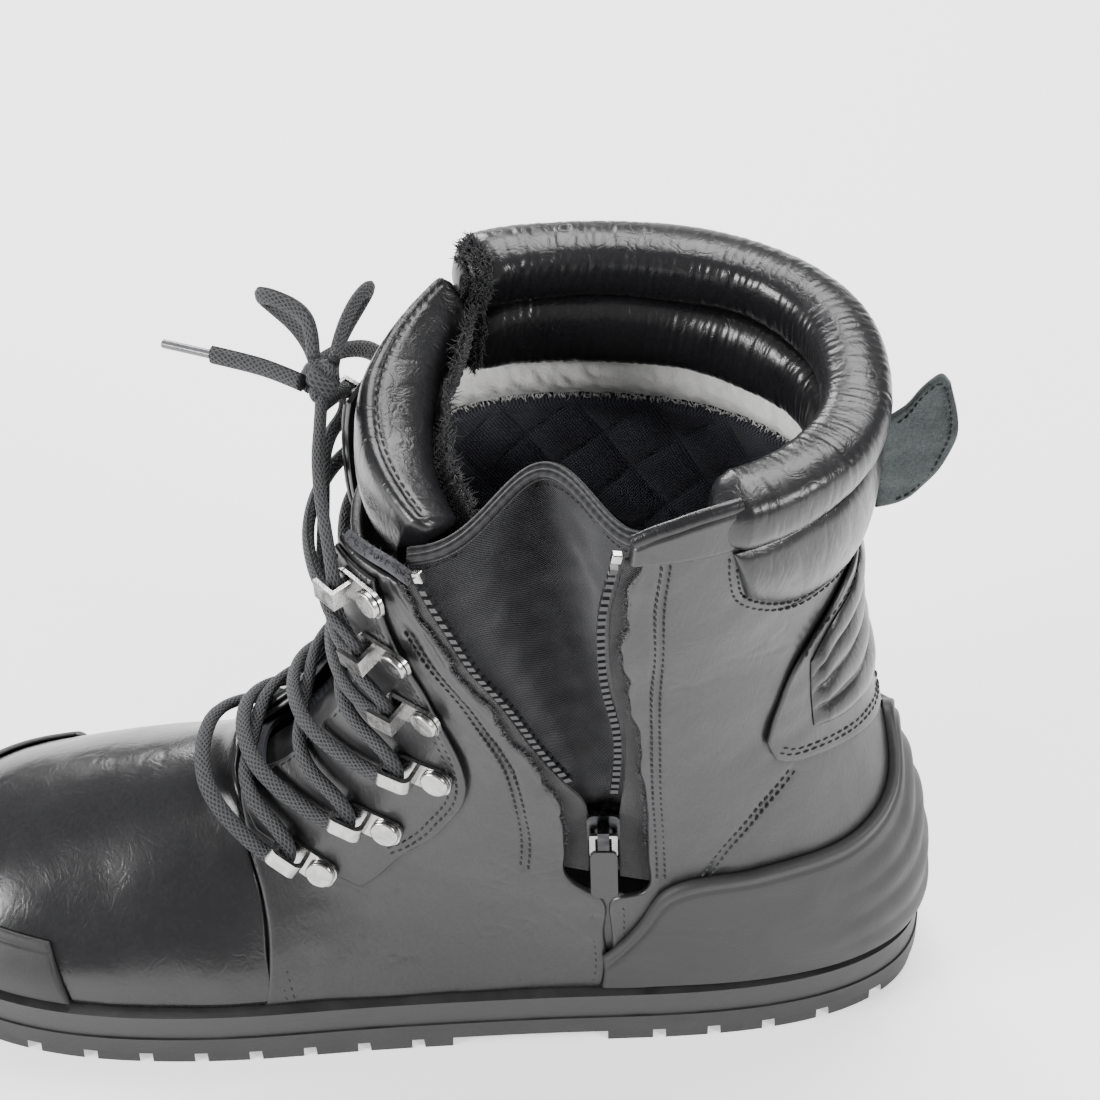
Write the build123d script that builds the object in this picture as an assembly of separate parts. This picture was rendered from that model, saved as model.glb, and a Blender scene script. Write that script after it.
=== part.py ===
from build123d import *
import math
import os

# A right leather fire boot, in millimetres: toe to -X, heel to +X, inner side to -Y, +Z up.
# The shapes are drawn about the plane of the toe and the back seam. They are moved when they
# are written, so that the origin is on the ground at the middle of the boot's box.

# ---------------------------------------------------------------- driving dimensions
SOLE_BOTTOM = 0.0
LUG_TOP = 5.0            # depth of the tread
OUTSOLE_TOP = 12.0
MIDSOLE_TOP = 21.8
FEATHER_Z = 22.1         # where the upper meets the sole
WELT = 3.6               # how far the sole stands out past the upper
HEEL_BREAST_X = 62.0     # front face of the heel block
FOREPART_END_X = 14.0    # back end of the forepart tread

LEATHER = (-1.8, 0.0)        # layers, as offsets from the outer surface, inner face first
OVERLAY = (0.4, 1.8)
PADDING = (-4.2, -2.4)
LINING = (-6.4, -4.6)
ZIP_DEPTH = -2.6             # the middle plane of the zip

LACE_RADIUS = 2.2
LUG_LIFT = OVERLAY[1] + 0.5
SURFACE_FIT = 0.05           # how closely a face follows its grid of points
BOX_MIDDLE = (0.48, 2.50)    # the middle of the boot's box, seen from above

# Sections of the upper, each in a plane square to the mid plane. Each runs from a front point
# (x, z) to a back point (x, z), with its half widths to the inner and outer side, its
# squareness and how much it narrows towards the front point. The first is the top edge, the
# planes then fan out round the ankle, and the last is the tip of the toe.
SECTIONS = [
    (-11, 240, 134, 240, 61, 62, 2.2, -0.04),
    (-15, 222, 133, 222, 60, 61, 2.2, -0.05),
    (-20, 198, 131, 200, 58, 59, 2.2, -0.06),
    (-18, 172, 130, 177, 55, 56, 2.2, -0.06),
    (-13, 150, 131, 152, 51, 52, 2.2, -0.05),
    (-16, 130, 138, 118, 47, 48, 2.2, -0.02),
    (-26, 111, 149, 84, 44, 45, 2.3, 0.00),
    (-36, 96, 157, 52, 43, 44, 2.4, 0.04),
    (-45, 88, 157, 22, 42, 44, 2.5, 0.08),
    (-51, 84, 135, -8, 42, 45, 2.5, 0.12),
    (-58, 79, 95, -15, 43, 46, 2.4, 0.18),
    (-70, 75, 30, -15, 46, 50, 2.3, 0.23),
    (-86, 70, -30, -15, 50, 53, 2.2, 0.24),
    (-107, 63, -80, -12, 50, 53, 2.15, 0.22),
    (-128, 56, -114, -8, 45, 48, 2.1, 0.14),
    (-145, 46, -137, -2, 35, 37, 2.1, 0.10),
    (-155, 36, -150, 5, 22, 23, 2.1, 0.05),
    (-159.5, 25, -158, 17, 3, 3, 2.0, 0.00),
]
LAST = len(SECTIONS) - 1

# Edges, as (section, angle) points. The angle goes round the leg from the front: 90 is the
# middle of the inner side, 180 the back and 270 the middle of the outer side.
ZIP_FRONT = [(1.75, 50), (2.5, 58), (3.4, 64), (4.6, 73), (5.3, 81), (5.6, 85)]
ZIP_REAR = [(0.95, 93), (1.8, 93), (2.7, 93), (3.6, 93), (4.4, 93.5), (5.6, 91.5)]
ZIP_FOOT = [(5.6, 88.3), (6.0, 88.7), (6.35, 89), (6.7, 89.4), (7.02, 89.8)]
THROAT = [(1.85, 25), (3.0, 21), (5.0, 19), (7.0, 17), (8.5, 15)]
VAMP_SEAM = [(9.3, 22), (10.2, 39), (10.75, 56), (11.3, 77), (11.62, 97.5)]
LUG_PLACES = [(9.3, 47), (6.95, 47), (5.5, 50)]
HOOK_PLACES = [(4.3, 44), (3.1, 41), (2.2, 37)]


# ---------------------------------------------------------------- the surface of the upper
def blend(a, b, c, d, t):
    """Catmull-Rom value between b and c."""
    return 0.5 * (2 * b + (c - a) * t + (2 * a - 5 * b + 4 * c - d) * t * t + (3 * b - a - 3 * c + d) * t ** 3)


def smooth_row(rows, position):
    """The row at a fractional position in a list of rows of numbers."""
    last = len(rows) - 1
    position = max(0.0, min(float(last), position))
    start = min(int(position), last - 1)
    near = [rows[max(0, min(last, start + step))] for step in (-1, 0, 1, 2)]
    return [blend(a, b, c, d, position - start) for a, b, c, d in zip(*near)]


def surface(section, angle):
    """A point on the outer surface of the upper."""
    front_x, front_z, back_x, back_z, inner, outer, square, narrow = smooth_row(SECTIONS, section)
    cosine = math.cos(math.radians(angle))
    sine = math.sin(math.radians(angle))
    reach = (abs(cosine) ** square + abs(sine) ** square) ** (-1 / square)
    forward = reach * cosine
    half_width = inner if sine >= 0 else outer
    x = (front_x + back_x) / 2 + (front_x - back_x) / 2 * forward
    z = (front_z + back_z) / 2 + (front_z - back_z) / 2 * forward
    return Vector(x, -half_width * sine * reach * (1 - narrow * cosine), z)


def outward(section, angle):
    """The outward normal of the upper's surface."""
    step = 0.02
    low = max(0.0, section - step)
    high = min(float(LAST), section + step)
    downward = surface(high, angle) - surface(low, angle)
    around = surface(section, angle + 1) - surface(section, angle - 1)
    return downward.cross(around).normalized()


def place(section, angle, depth=0.0):
    """A point at a depth from the surface, positive outwards."""
    return surface(section, angle) + outward(section, angle) * depth


def side_place(x, z, outer_side=False):
    """The (section, angle) of the surface point seen at (x, z) from the side."""
    low, high = 0.0, float(LAST)
    for _ in range(40):
        middle = (low + high) / 2
        front_x, front_z, back_x, back_z = smooth_row(SECTIONS, middle)[:4]
        if (back_x - front_x) * (z - front_z) - (back_z - front_z) * (x - front_x) < 0:
            low = middle
        else:
            high = middle
    section = (low + high) / 2
    front_x, front_z, back_x, back_z = smooth_row(SECTIONS, section)[:4]
    length = math.hypot(back_x - front_x, back_z - front_z)
    wanted = ((x - front_x) * (back_x - front_x) + (z - front_z) * (back_z - front_z)) / length
    low, high = 0.0, 180.0
    for _ in range(40):
        angle = (low + high) / 2
        point = surface(section, angle)
        got = ((point.X - front_x) * (back_x - front_x) + (point.Z - front_z) * (back_z - front_z)) / length
        if got < wanted:
            low = angle
        else:
            high = angle
    return (section, 360 - angle) if outer_side else (section, angle)


# ---------------------------------------------------------------- solids from point grids
def side_edge(face, start, end):
    """The face's edge that joins two corner points."""
    def miss(edge):
        direct = (edge @ 0 - start).length + (edge @ 1 - end).length
        turned = (edge @ 0 - end).length + (edge @ 1 - start).length
        return min(direct, turned)
    return min(face.edges(), key=miss)


def between(outer, inner, rows=24, columns=12, turned=False):
    """A solid between two sheets, each a function of u and v from 0 to 1."""
    grids = []
    for sheet in (outer, inner):
        grids.append([[sheet(i / rows, j / columns) for j in range(columns + 1)] for i in range(rows + 1)])
    faces = []
    for grid in grids:
        faces.append(Face.make_surface_from_array_of_points(grid, tol=SURFACE_FIT, min_deg=3, max_deg=3))
    corners = (((0, 0), (0, -1)), ((-1, 0), (-1, -1)), ((0, 0), (-1, 0)), ((0, -1), (-1, -1)))
    walls = []
    for (row_a, column_a), (row_b, column_b) in corners:
        edges = []
        for grid, face in zip(grids, faces):
            edges.append(side_edge(face, grid[row_a][column_a], grid[row_b][column_b]))
        walls.append(Face.make_surface_from_curves(*edges))
    solid = Solid(Shell(faces + walls))
    if solid.volume < 0 and not turned:
        return between(lambda u, v: outer(1 - u, v), lambda u, v: inner(1 - u, v), rows, columns, True)
    return solid


def value(number, u, v):
    """A depth that is a number or a function of u and v."""
    return number(u, v) if callable(number) else number


def along(rail, part_way):
    """The (section, angle) at a part of the way along a rail, from 0 to 1."""
    return smooth_row(rail, part_way * (len(rail) - 1))


def skin(rail_a, rail_b, layer, rows=24, columns=10, foot=None):
    """A layer of the upper between two rails of (section, angle) points. A third rail may
    give the edge that joins their far ends, which is otherwise straight."""
    def point(u, v, depth):
        start = along(rail_a, u)
        end = along(rail_b, u)
        spot = [a + (b - a) * v for a, b in zip(start, end)]
        if foot:
            straight = [a + (b - a) * v for a, b in zip(rail_a[-1], rail_b[-1])]
            pull = u * u
            spot = [at + (want - have) * pull for at, want, have in zip(spot, along(foot, v), straight)]
        return place(*spot, value(depth, u, v))
    inner, outer = layer
    return between(lambda u, v: point(u, v, outer), lambda u, v: point(u, v, inner), rows, columns)


def thick(sheet, inner, outer, rows=20, columns=10):
    """A free sheet, a function of u and v, given thickness along its own normals."""
    step = 0.01

    def at_depth(u, v, depth):
        lengthwise = sheet(min(1, u + step), v) - sheet(max(0, u - step), v)
        crosswise = sheet(u, min(1, v + step)) - sheet(u, max(0, v - step))
        return sheet(u, v) + lengthwise.cross(crosswise).normalized() * value(depth, u, v)
    return between(lambda u, v: at_depth(u, v, outer), lambda u, v: at_depth(u, v, inner), rows, columns)


def mirrored(rail):
    """The same rail on the outer side."""
    return [(section, 360 - angle) for section, angle in rail]


def shifted(rail, degrees):
    """A rail moved round the leg."""
    return [(section, angle + degrees) for section, angle in rail]


def feather(x_places, outer_side=False):
    """The lower edge of the upper between two places along the boot, as a rail."""
    return [side_place(x, FEATHER_Z + 0.4, outer_side) for x in x_places]


def puff(height, flat=0.5):
    """A depth that swells between the long edges of a skin and falls to nothing at its ends."""
    def depth(u, v):
        ends = min(1.0, math.sin(math.pi * u) * 6)
        return height * math.sin(math.pi * v) ** flat * ends
    return depth


def bulge(base, height, flat=0.5):
    """A depth that starts at a base and swells by a height."""
    swell = puff(height, flat)
    return lambda u, v: base + swell(u, v)


parts = {}


# ---------------------------------------------------------------- the sole
def outline_at(z, offset, count=15):
    """The upper's outline at a height, moved outwards, as a closed sketch."""
    tip_x = -157.0
    back_x = 156.0
    inner_side = []
    outer_side = []
    for i in range(1, count):
        x = (tip_x + back_x) / 2 + (tip_x - back_x) / 2 * math.cos(math.pi * i / count)
        inner_side.append(surface(*side_place(x, z)))
        outer_side.append(surface(*side_place(x, z, True)))
    ring = [Vector(tip_x - 1, 0, 0)] + inner_side + [Vector(back_x + 1, 0, 0)] + outer_side[::-1]
    moved = []
    for i, point in enumerate(ring):
        after = ring[(i + 1) % len(ring)]
        before = ring[i - 1]
        run = Vector(after.X - before.X, after.Y - before.Y, 0).normalized()
        moved.append((point.X + run.Y * offset, point.Y - run.X * offset))
    return make_face(Spline(moved, periodic=True))


def slab(z, offset, bottom, top):
    """A flat piece with the sole's outline."""
    return extrude(Pos(0, 0, bottom) * outline_at(z, offset), top - bottom)


def make_outsole():
    """The rubber outsole: a plate, a lugged forepart and a lugged heel block."""
    plate = slab(FEATHER_Z, WELT, LUG_TOP, OUTSOLE_TOP - 0.1)
    tread = slab(FEATHER_Z, WELT - 0.8, SOLE_BOTTOM, LUG_TOP + 0.2)
    arch = Pos((HEEL_BREAST_X + FOREPART_END_X) / 2, 0, 0)
    arch = arch * Box(HEEL_BREAST_X - FOREPART_END_X, 160, 2 * LUG_TOP)
    groove = 4.0
    pitch = 17.0
    cuts = [arch]
    for i in range(9):
        x = -143.0 + i * pitch
        cuts.append(Pos(x, 0, 0) * Rot(0, 0, 12) * Box(groove, 160, 2 * LUG_TOP))
    for i in range(5):
        x = HEEL_BREAST_X + 16 + i * pitch
        cuts.append(Pos(x, 0, 0) * Box(groove, 160, 2 * LUG_TOP))
    cuts.append(Box(2 * 170, groove, 2 * LUG_TOP))
    lugs = tread
    for cut in cuts:
        lugs = lugs - cut
    return plate + lugs


SHANK_SIZE = (96.0, 15.0, 1.6)
SHANK_X = 42.0


def make_midsole_and_inside():
    """The midsole, the steel shank in its pocket, and the layers under the foot."""
    clearance = 0.15
    length, width, height = SHANK_SIZE
    shank_z = MIDSOLE_TOP - clearance - height / 2
    pocket = Box(length + 2 * clearance, width + 2 * clearance, height + 2 * clearance)
    midsole = slab(FEATHER_Z, WELT - 0.6, OUTSOLE_TOP, MIDSOLE_TOP)
    parts["midsole"] = midsole - Pos(SHANK_X, 0, shank_z) * pocket
    parts["shank"] = Pos(SHANK_X, 0, shank_z) * fillet(Box(length, width, height).edges().filter_by(Axis.Z), 7)
    inside = -8.6
    parts["insole_board"] = slab(FEATHER_Z + 2, inside, 22.1, 24.3)
    parts["puncture_plate"] = slab(FEATHER_Z + 2, inside, 24.6, 25.8)
    parts["footbed"] = slab(FEATHER_Z + 4, inside - 1.4, 26.1, 31.0)


def make_heel_cup():
    """The rubber cup round the heel, with moulded bands across its back."""
    top_line = [(60, 38), (78, 70), (106, 77), (133, 80), (144, 88)]
    bottom_line = [(60, 24.2), (80, 24.2), (106, 24.2), (130, 24.2), (149, 24.2)]
    medial_top = [side_place(x, z) for x, z in top_line]
    medial_bottom = [side_place(x, z) for x, z in bottom_line]
    top = medial_top + [(5.45, 180)] + mirrored(medial_top)[::-1]
    bottom = medial_bottom + [(7.98, 180)] + mirrored(medial_bottom)[::-1]
    bands = 5

    def ribbed(u, v):
        at_back = max(0.0, 1 - abs(u - 0.5) * 5)
        return 2.6 + 1.2 * at_back * math.sin(math.pi * bands * v) ** 2
    parts["heel_cup"] = skin(top, bottom, (0.5, ribbed), 40, 30)

    counter_top = [side_place(x, z) for x, z in [(72, 40), (95, 58), (125, 64)]]
    counter_low = [side_place(x, z) for x, z in [(72, 25), (95, 25), (128, 25)]]
    top = counter_top + [(6.5, 180)] + mirrored(counter_top)[::-1]
    low = counter_low + [(7.85, 180)] + mirrored(counter_low)[::-1]
    parts["heel_counter"] = skin(top, low, PADDING, 30, 10)


def make_toe_bumper():
    """The rubber bumper round the toe."""
    top = [(13.3, 63), (14.3, 50), (15.0, 25), (15.2, 0)]
    low = [(13.3, 92.8), (14.5, 88.2), (15.9, 78), (16.7, 0)]
    top = top + [(section, -angle) for section, angle in top[:-1]][::-1]
    low = low + [(section, -angle) for section, angle in low[:-1]][::-1]
    parts["toe_bumper"] = skin(top, low, (0.5, bulge(1.4, 1.4)), 48, 16)


# ---------------------------------------------------------------- the upper
def make_panels():
    """The leather panels of the upper."""
    zip_edge = [(1.85, 46.5), (2.5, 54.5), (3.4, 60.5), (4.4, 67.5), (5.2, 76), (5.8, 80.5),
                (6.5, 82), (7.1, 83.3), (7.55, 90.6), (8.3, 94.5), side_place(60, FEATHER_Z + 0.4)]
    sole_front = feather([-43, -26, -9, 9, 26, 43, 60])
    front_edge = THROAT + VAMP_SEAM[:-1] + sole_front[:1]
    parts["front_panel_inner"] = skin(front_edge, zip_edge, LEATHER, 50, 20, sole_front)

    rear_edge = [(0.7, 96.5), (1.6, 96.5), (2.5, 96.5), (3.4, 96.5), (4.3, 97), (5.2, 97),
                 (6.4, 97), (7.1, 97.4), (7.55, 91.7), (8.3, 95.5), side_place(60.8, FEATHER_Z + 0.4)]
    back_seam = [(0.4 + 0.758 * i, 179.7) for i in range(11)]
    sole_rear = feather([60.8, 80, 98, 115, 130, 142, 150, 155]) + back_seam[-1:]
    parts["rear_panel_inner"] = skin(rear_edge, back_seam, LEATHER, 40, 26, sole_rear)

    side_seam = [(0.5, 266), (1.4, 266), (2.4, 266), (3.4, 266), (4.4, 266), (5.4, 266),
                 (6.4, 266), (7.3, 265), (8.0, 262), (8.6, 259), side_place(60.8, FEATHER_Z + 0.4, True)]
    sole_outer = mirrored(sole_rear)
    rear = skin(side_seam, mirrored(back_seam), LEATHER, 40, 26, sole_outer)
    parts["rear_panel_outer"] = rear
    front_seam = shifted(side_seam[:-1], 0.6) + [side_place(60, FEATHER_Z + 0.4, True)]
    parts["front_panel_outer"] = skin(mirrored(front_edge), front_seam, LEATHER, 50, 20, mirrored(sole_front))

    seam = [(section + 0.13, angle) for section, angle in VAMP_SEAM]
    crown = [(9.06, 11), (8.9, 0), (9.06, -11)]
    back_edge = seam[::-1] + crown + [(section, -angle) for section, angle in seam]
    sides = [(16.8, 77.6), (15.6, 86), (14.6, 90.6), (13.6, 93.5), (12.6, 95.6)]
    inner_side = sides + [back_edge[0]]
    outer_side = [(section, -angle) for section, angle in inner_side]
    parts["vamp"] = skin(inner_side, outer_side, LEATHER, 50, 44, back_edge)


def make_overlays():
    """The stitched pieces on top of the panels."""
    front = [(1.95, 26), (3.0, 22), (5.0, 20), (7.0, 18), (8.4, 16.5), (9.15, 24), (9.7, 36)]
    back = [(1.95, 41), (3.0, 45), (4.2, 50), (5.6, 61), (6.6, 60), (7.6, 57), (9.2, 58)]
    parts["eyestay_inner"] = skin(front, back, OVERLAY, 30, 8)
    parts["eyestay_outer"] = skin(mirrored(front), mirrored(back), OVERLAY, 30, 8)

    top = [(4.66, 126), (4.3, 129.5), (3.6, 139), (3.0, 157), (2.95, 180)]
    low = [(4.9, 127), (5.0, 131), (5.05, 140), (5.1, 148), (5.3, 180)]
    top += mirrored(top[:-1])[::-1]
    low += mirrored(low[:-1])[::-1]
    parts["back_stay"] = skin(top, low, OVERLAY, 40, 10)

    ribs = 4

    def ribbed(u, v):
        ends = min(1.0, 5 * math.sin(math.pi * u))
        return 2.3 + 1.7 * ends * math.sin(math.pi * ribs * v) ** 2
    pad_top = [(3.75, 141), (3.35, 150), (3.2, 165), (3.15, 180), (3.2, 195), (3.35, 210), (3.75, 219)]
    pad_low = [(4.65, 139), (4.75, 150), (4.82, 165), (4.85, 180), (4.82, 195), (4.75, 210), (4.65, 221)]
    parts["achilles_pad"] = skin(pad_top, pad_low, (OVERLAY[1] + 0.3, ribbed), 28, 30)


def make_collar():
    """The padded collar: an outer pad, two inner rolls and a pale band below them."""
    top = [(0.12, 113), (0.1, 135), (0.1, 157), (0.1, 180), (0.1, 215), (0.1, 250), (0.15, 285), (0.3, 312)]
    low = [(1.95, 122), (2.4, 134), (2.55, 150), (2.75, 180), (2.45, 215), (2.2, 250), (2.0, 285), (1.7, 312)]
    parts["collar_outer_pad"] = skin(top, low, (0.4, bulge(1.3, 2.4)), 36, 14)

    def ring(section, start, end, count=9):
        return [(section, start + (end - start) * i / (count - 1)) for i in range(count)]
    upper = (bulge(-5, -12), PADDING[1])
    lower = (bulge(-5, -10), PADDING[1])
    parts["collar_upper_roll"] = skin(ring(0.05, 110, 308), ring(1.12, 110, 308), upper, 40, 14)
    parts["collar_lower_roll"] = skin(ring(1.2, 110, 308), ring(2.02, 110, 308), lower, 40, 14)
    parts["collar_band"] = skin(ring(2.1, 110, 308), ring(2.66, 110, 308), PADDING, 36, 6)


def make_lining():
    """The padding and the quilted lining of the leg, and the lining and toe cap of the foot."""
    def column(angle, low_section, count=7):
        step = (low_section - 2.74) / (count - 1)
        return [(2.74 + step * i, angle) for i in range(count)]
    parts["leg_padding"] = skin(column(109.5, 6.1), column(334, 6.1), PADDING, 20, 40)
    parts["leg_lining"] = skin(column(105, 7.9), column(334, 7.9), LINING, 20, 40)

    front_start = [(2.05, 27), (3.0, 24), (4.4, 22), (5.8, 21), (7.0, 20), (7.9, 19)]
    front_end = [(2.05, 34), (3.0, 45), (4.4, 56), (5.8, 67), (7.0, 73), (7.9, 76)]
    parts["front_lining"] = skin(front_start, front_end, LINING, 20, 10)

    def foot_layer(reaches, layer):
        inner_side = list(reaches)
        outer_side = [(section, -angle) for section, angle in reaches]
        return skin(outer_side, inner_side, layer, 40, 40)
    lining_reach = [(8.05, 158), (8.4, 125), (8.9, 108), (9.6, 98.5), (10.6, 95.5), (11.6, 93),
                    (12.6, 90.5), (13.6, 88), (14.6, 84.5), (15.2, 81)]
    parts["foot_lining"] = foot_layer(lining_reach, LINING)
    parts["vamp_interlining"] = foot_layer([(9.4, 100), (10.6, 97), (11.8, 95), (13.0, 92)], PADDING)
    parts["toe_cap"] = foot_layer([(13.1, 91), (14.0, 89), (15.0, 85), (15.9, 80)], PADDING)


def tongue_rim(u):
    """The front top edge of the tongue, from the inner side to the outer side."""
    side = 2 * u - 1
    return Vector(-10 + 22 * side * side, 3.5 + 42.5 * side, 226 + 8.5 * side)


def tongue_foot(u):
    """The front face of the tongue where it drops inside the panels."""
    side = 2 * u - 1
    return Vector(-9 + 12 * side * side, 2 + 29 * side, 190)


def tongue_back_edge(u):
    """The back top edge of the tongue's padding."""
    side = 2 * u - 1
    return Vector(13 + 9 * side * side, 5 + 34 * side, 214 + 6 * side)


def tongue_back_foot(u):
    """The lower back edge of the tongue's padding."""
    side = 2 * u - 1
    return Vector(0 + 10 * side * side, 3 + 23 * side, 191 + 2 * side)


def make_tongue():
    """The tongue: a thick padded top, a thin lower part and a knitted strip behind the top."""
    def front_face(u, v):
        swell = Vector(-2.5, 0, 0) * math.sin(math.pi * v)
        return tongue_foot(u) * (1 - v) + tongue_rim(u) * v + swell

    def back_face(u, v):
        swell = Vector(3.0, 0, 1.0) * math.sin(math.pi * v)
        return tongue_back_foot(u) * (1 - v) + tongue_back_edge(u) * v + swell
    parts["tongue_pad"] = between(front_face, back_face, 24, 10)

    def strip(u, v):
        return back_face(u, 0.1 + 0.75 * v) + Vector(1.3, 0, 0)
    parts["tongue_knit_strip"] = between(strip, lambda u, v: strip(u, v) + Vector(1.6, 0, 0.3), 24, 8)

    low = [(8.4, 14), (6.5, 18), (5.0, 22), (3.6, 27), (2.55, 33)]
    parts["tongue_lower"] = skin([(s, -a) for s, a in low], low, (-10.5, -7.6), 24, 14)


# ---------------------------------------------------------------- the zip
def zip_frame(depth=ZIP_DEPTH):
    """The straight foot of the zip: its top and bottom points and its outward normal."""
    top = place(*ZIP_FOOT[1], depth)
    bottom = place(*ZIP_FOOT[-1], depth)
    down = (bottom - top).normalized()
    normal = outward(*ZIP_FOOT[2])
    normal = (normal - down * normal.dot(down)).normalized()
    return top, bottom, down, normal


def make_tapes():
    """The two woven tapes, each from its toothed edge to under its panel."""
    width = 13.0
    thickness = (ZIP_DEPTH - 0.35, ZIP_DEPTH + 0.35)
    foot = ZIP_FOOT[1:]
    front = shifted(ZIP_FRONT, -0.6) + shifted(foot, -2.7)
    rear = shifted(ZIP_REAR, 0.6) + shifted(foot, 2.7)
    parts["zip_tape_front"] = skin(front, shifted(front, -width), thickness, 30, 6)
    parts["zip_tape_rear"] = skin(rear, shifted(rear, width - 1), thickness, 30, 6)


def tooth_row(rail, lean, pitch=3.1):
    """One open row of moulded teeth along a toothed edge."""
    count = 400
    points = []
    for i in range(count + 1):
        points.append(place(*smooth_row(rail, i / count * (len(rail) - 1)), ZIP_DEPTH))
    teeth = []
    run = -pitch / 2
    for i in range(1, count):
        run += (points[i] - points[i - 1]).length
        if run >= pitch:
            run -= pitch
            section, angle = smooth_row(rail, i / count * (len(rail) - 1))
            lengthwise = (points[i + 1] - points[i - 1]).normalized()
            plane = Plane(points[i], x_dir=lengthwise, z_dir=outward(section, angle))
            teeth.append(plane * Pos(0, lean * 1.4, 0) * Box(1.7, 2.2, 2.0))
    return Compound(children=teeth)


def make_zip_fixed():
    """The teeth, the closed chain and the stops."""
    parts["zip_teeth_front"] = tooth_row(ZIP_FRONT[:-1], 1)
    parts["zip_teeth_rear"] = tooth_row(ZIP_REAR[:-1] + [(5.35, 91.8)], -1)
    top, bottom, down, normal = zip_frame()
    length = (bottom - top).length
    plane = Plane(top, x_dir=down, z_dir=normal)
    pitch = 1.6
    chain = [Box(0.9, 3.6, 2.0).moved(Location((8 + pitch * i, 0, 0))) for i in range(int((length - 9.5) / pitch))]
    spine = Pos((length + 7) / 2, 0, 0) * Box(length - 8.4, 1.2, 0.9)
    body = spine
    for link in chain:
        body = body + link
    parts["zip_closed_chain"] = plane * body
    parts["zip_bottom_stop"] = plane * Pos(length + 2.2, 0, 0) * fillet(Box(3.2, 7, 2.4).edges(), 0.6)
    stops = []
    for rail, lean in ((ZIP_FRONT, 1), (ZIP_REAR, -1)):
        spot = place(*rail[0], ZIP_DEPTH)
        lengthwise = (place(*rail[1], ZIP_DEPTH) - spot).normalized()
        stop = fillet(Box(3.4, 3.0, 2.4).edges(), 0.5)
        stops.append(Plane(spot, x_dir=lengthwise, z_dir=outward(*rail[0])) * Pos(-0.2, lean * 1.4, 0) * stop)
    parts["zip_top_stops"] = Compound(children=stops)


SLIDER_LENGTH = 12.0
SLIDER_WIDTH = 9.6
PLATE_GAP = 1.5          # from the zip's middle plane to the inside of each plate
PLATE = 1.0
BAIL_X = 1.5
BAIL_HEIGHT = 3.2


def make_slider():
    """The slider: two plates, a wedge between them, and the bail that holds the puller."""
    top, _, down, normal = zip_frame()
    plane = Plane(top, x_dir=down, z_dir=normal)
    plate = fillet(Box(SLIDER_LENGTH, SLIDER_WIDTH, PLATE).edges().filter_by(Axis.Z), 2.4)
    lift = PLATE_GAP + PLATE / 2
    wedge = Pos(-SLIDER_LENGTH / 2 + 1.3, 0, 0) * Box(1.6, 1.8, 2 * PLATE_GAP + 0.2)
    bail_post = Box(1.4, 3.4, BAIL_HEIGHT + 0.2)
    bail_top = PLATE_GAP + PLATE + BAIL_HEIGHT / 2
    bridge = Pos(BAIL_X, 0, PLATE_GAP + PLATE + BAIL_HEIGHT) * Box(8.0, 3.4, 1.0)
    body = Pos(0, 0, lift) * plate + Pos(0, 0, -lift) * plate + wedge
    for x in (BAIL_X - 3.3, BAIL_X + 3.3):
        body = body + Pos(x, 0, bail_top) * bail_post
    parts["zip_slider"] = plane * (body + bridge)

    hinge_z = PLATE_GAP + PLATE + 1.8
    ring = Box(9.5, 8.2, 1.1) - Pos(-0.4, 0, 0) * Box(6.3, 4.9, 2)
    ring = fillet(ring.edges().filter_by(Axis.Z), 0.5)
    link = plane * Pos(BAIL_X + 3.55, 0, hinge_z) * ring
    parts["zip_puller_link"] = link
    tab_length = 22.0
    tab = fillet(Box(tab_length, 8.0, 2.4).edges().filter_by(Axis.Z), 2.6)
    slot = Pos(-tab_length / 2, 0, 0) * Box(6.0, 8.6, 1.5)
    tab_x = BAIL_X + 3.55 + 4.75 - 2.4 + tab_length / 2
    parts["zip_pull_tab"] = plane * Pos(tab_x, 0, hinge_z) * (tab - slot)


def make_gusset():
    """The folding gusset behind the open zip, and the doubled edge along its top."""
    behind = -7.4
    front = [(7.15, 84)] + [(s, a - 6) for s, a in ZIP_FRONT[::-1]]
    rear = [(7.15, 95)] + [(s, a + 5) for s, a in ZIP_REAR[::-1]]

    def sheet(u, v):
        start = place(*smooth_row(front, v * (len(front) - 1)), behind)
        end = place(*smooth_row(rear, v * (len(rear) - 1)), behind)
        rise = max(0.0, v - 0.18) / 0.82
        fold = 30 * rise ** 1.15 * math.sin(math.pi * u ** 1.3) ** 2.2
        return start * (1 - u) + end * u + Vector(0, fold, 0)
    parts["zip_gusset"] = thick(lambda u, v: sheet(u, v * 0.972), -0.6, 0.6, 24, 24)

    def edge(u, v):
        return sheet(u, 0.976 + 0.024 * v)
    parts["gusset_edge"] = thick(edge, -1.7, 1.7, 24, 3)


# ---------------------------------------------------------------- lacing hardware and laces
def hardware_plane(section, angle):
    """The seat of a lug or hook: x towards the throat, z outwards."""
    normal = outward(section, angle)
    towards_front = -1 if angle < 180 else 1
    ahead = place(section, angle + towards_front * 3) - place(section, angle)
    ahead = ahead - normal * ahead.dot(normal)
    return Plane(place(section, angle, LUG_LIFT), x_dir=ahead.normalized(), z_dir=normal)


ARCH_X = 5.0             # from the seat's middle to the lace's way through
ARCH_INNER = 6.1
ARCH_WIDTH = 8.4


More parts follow.
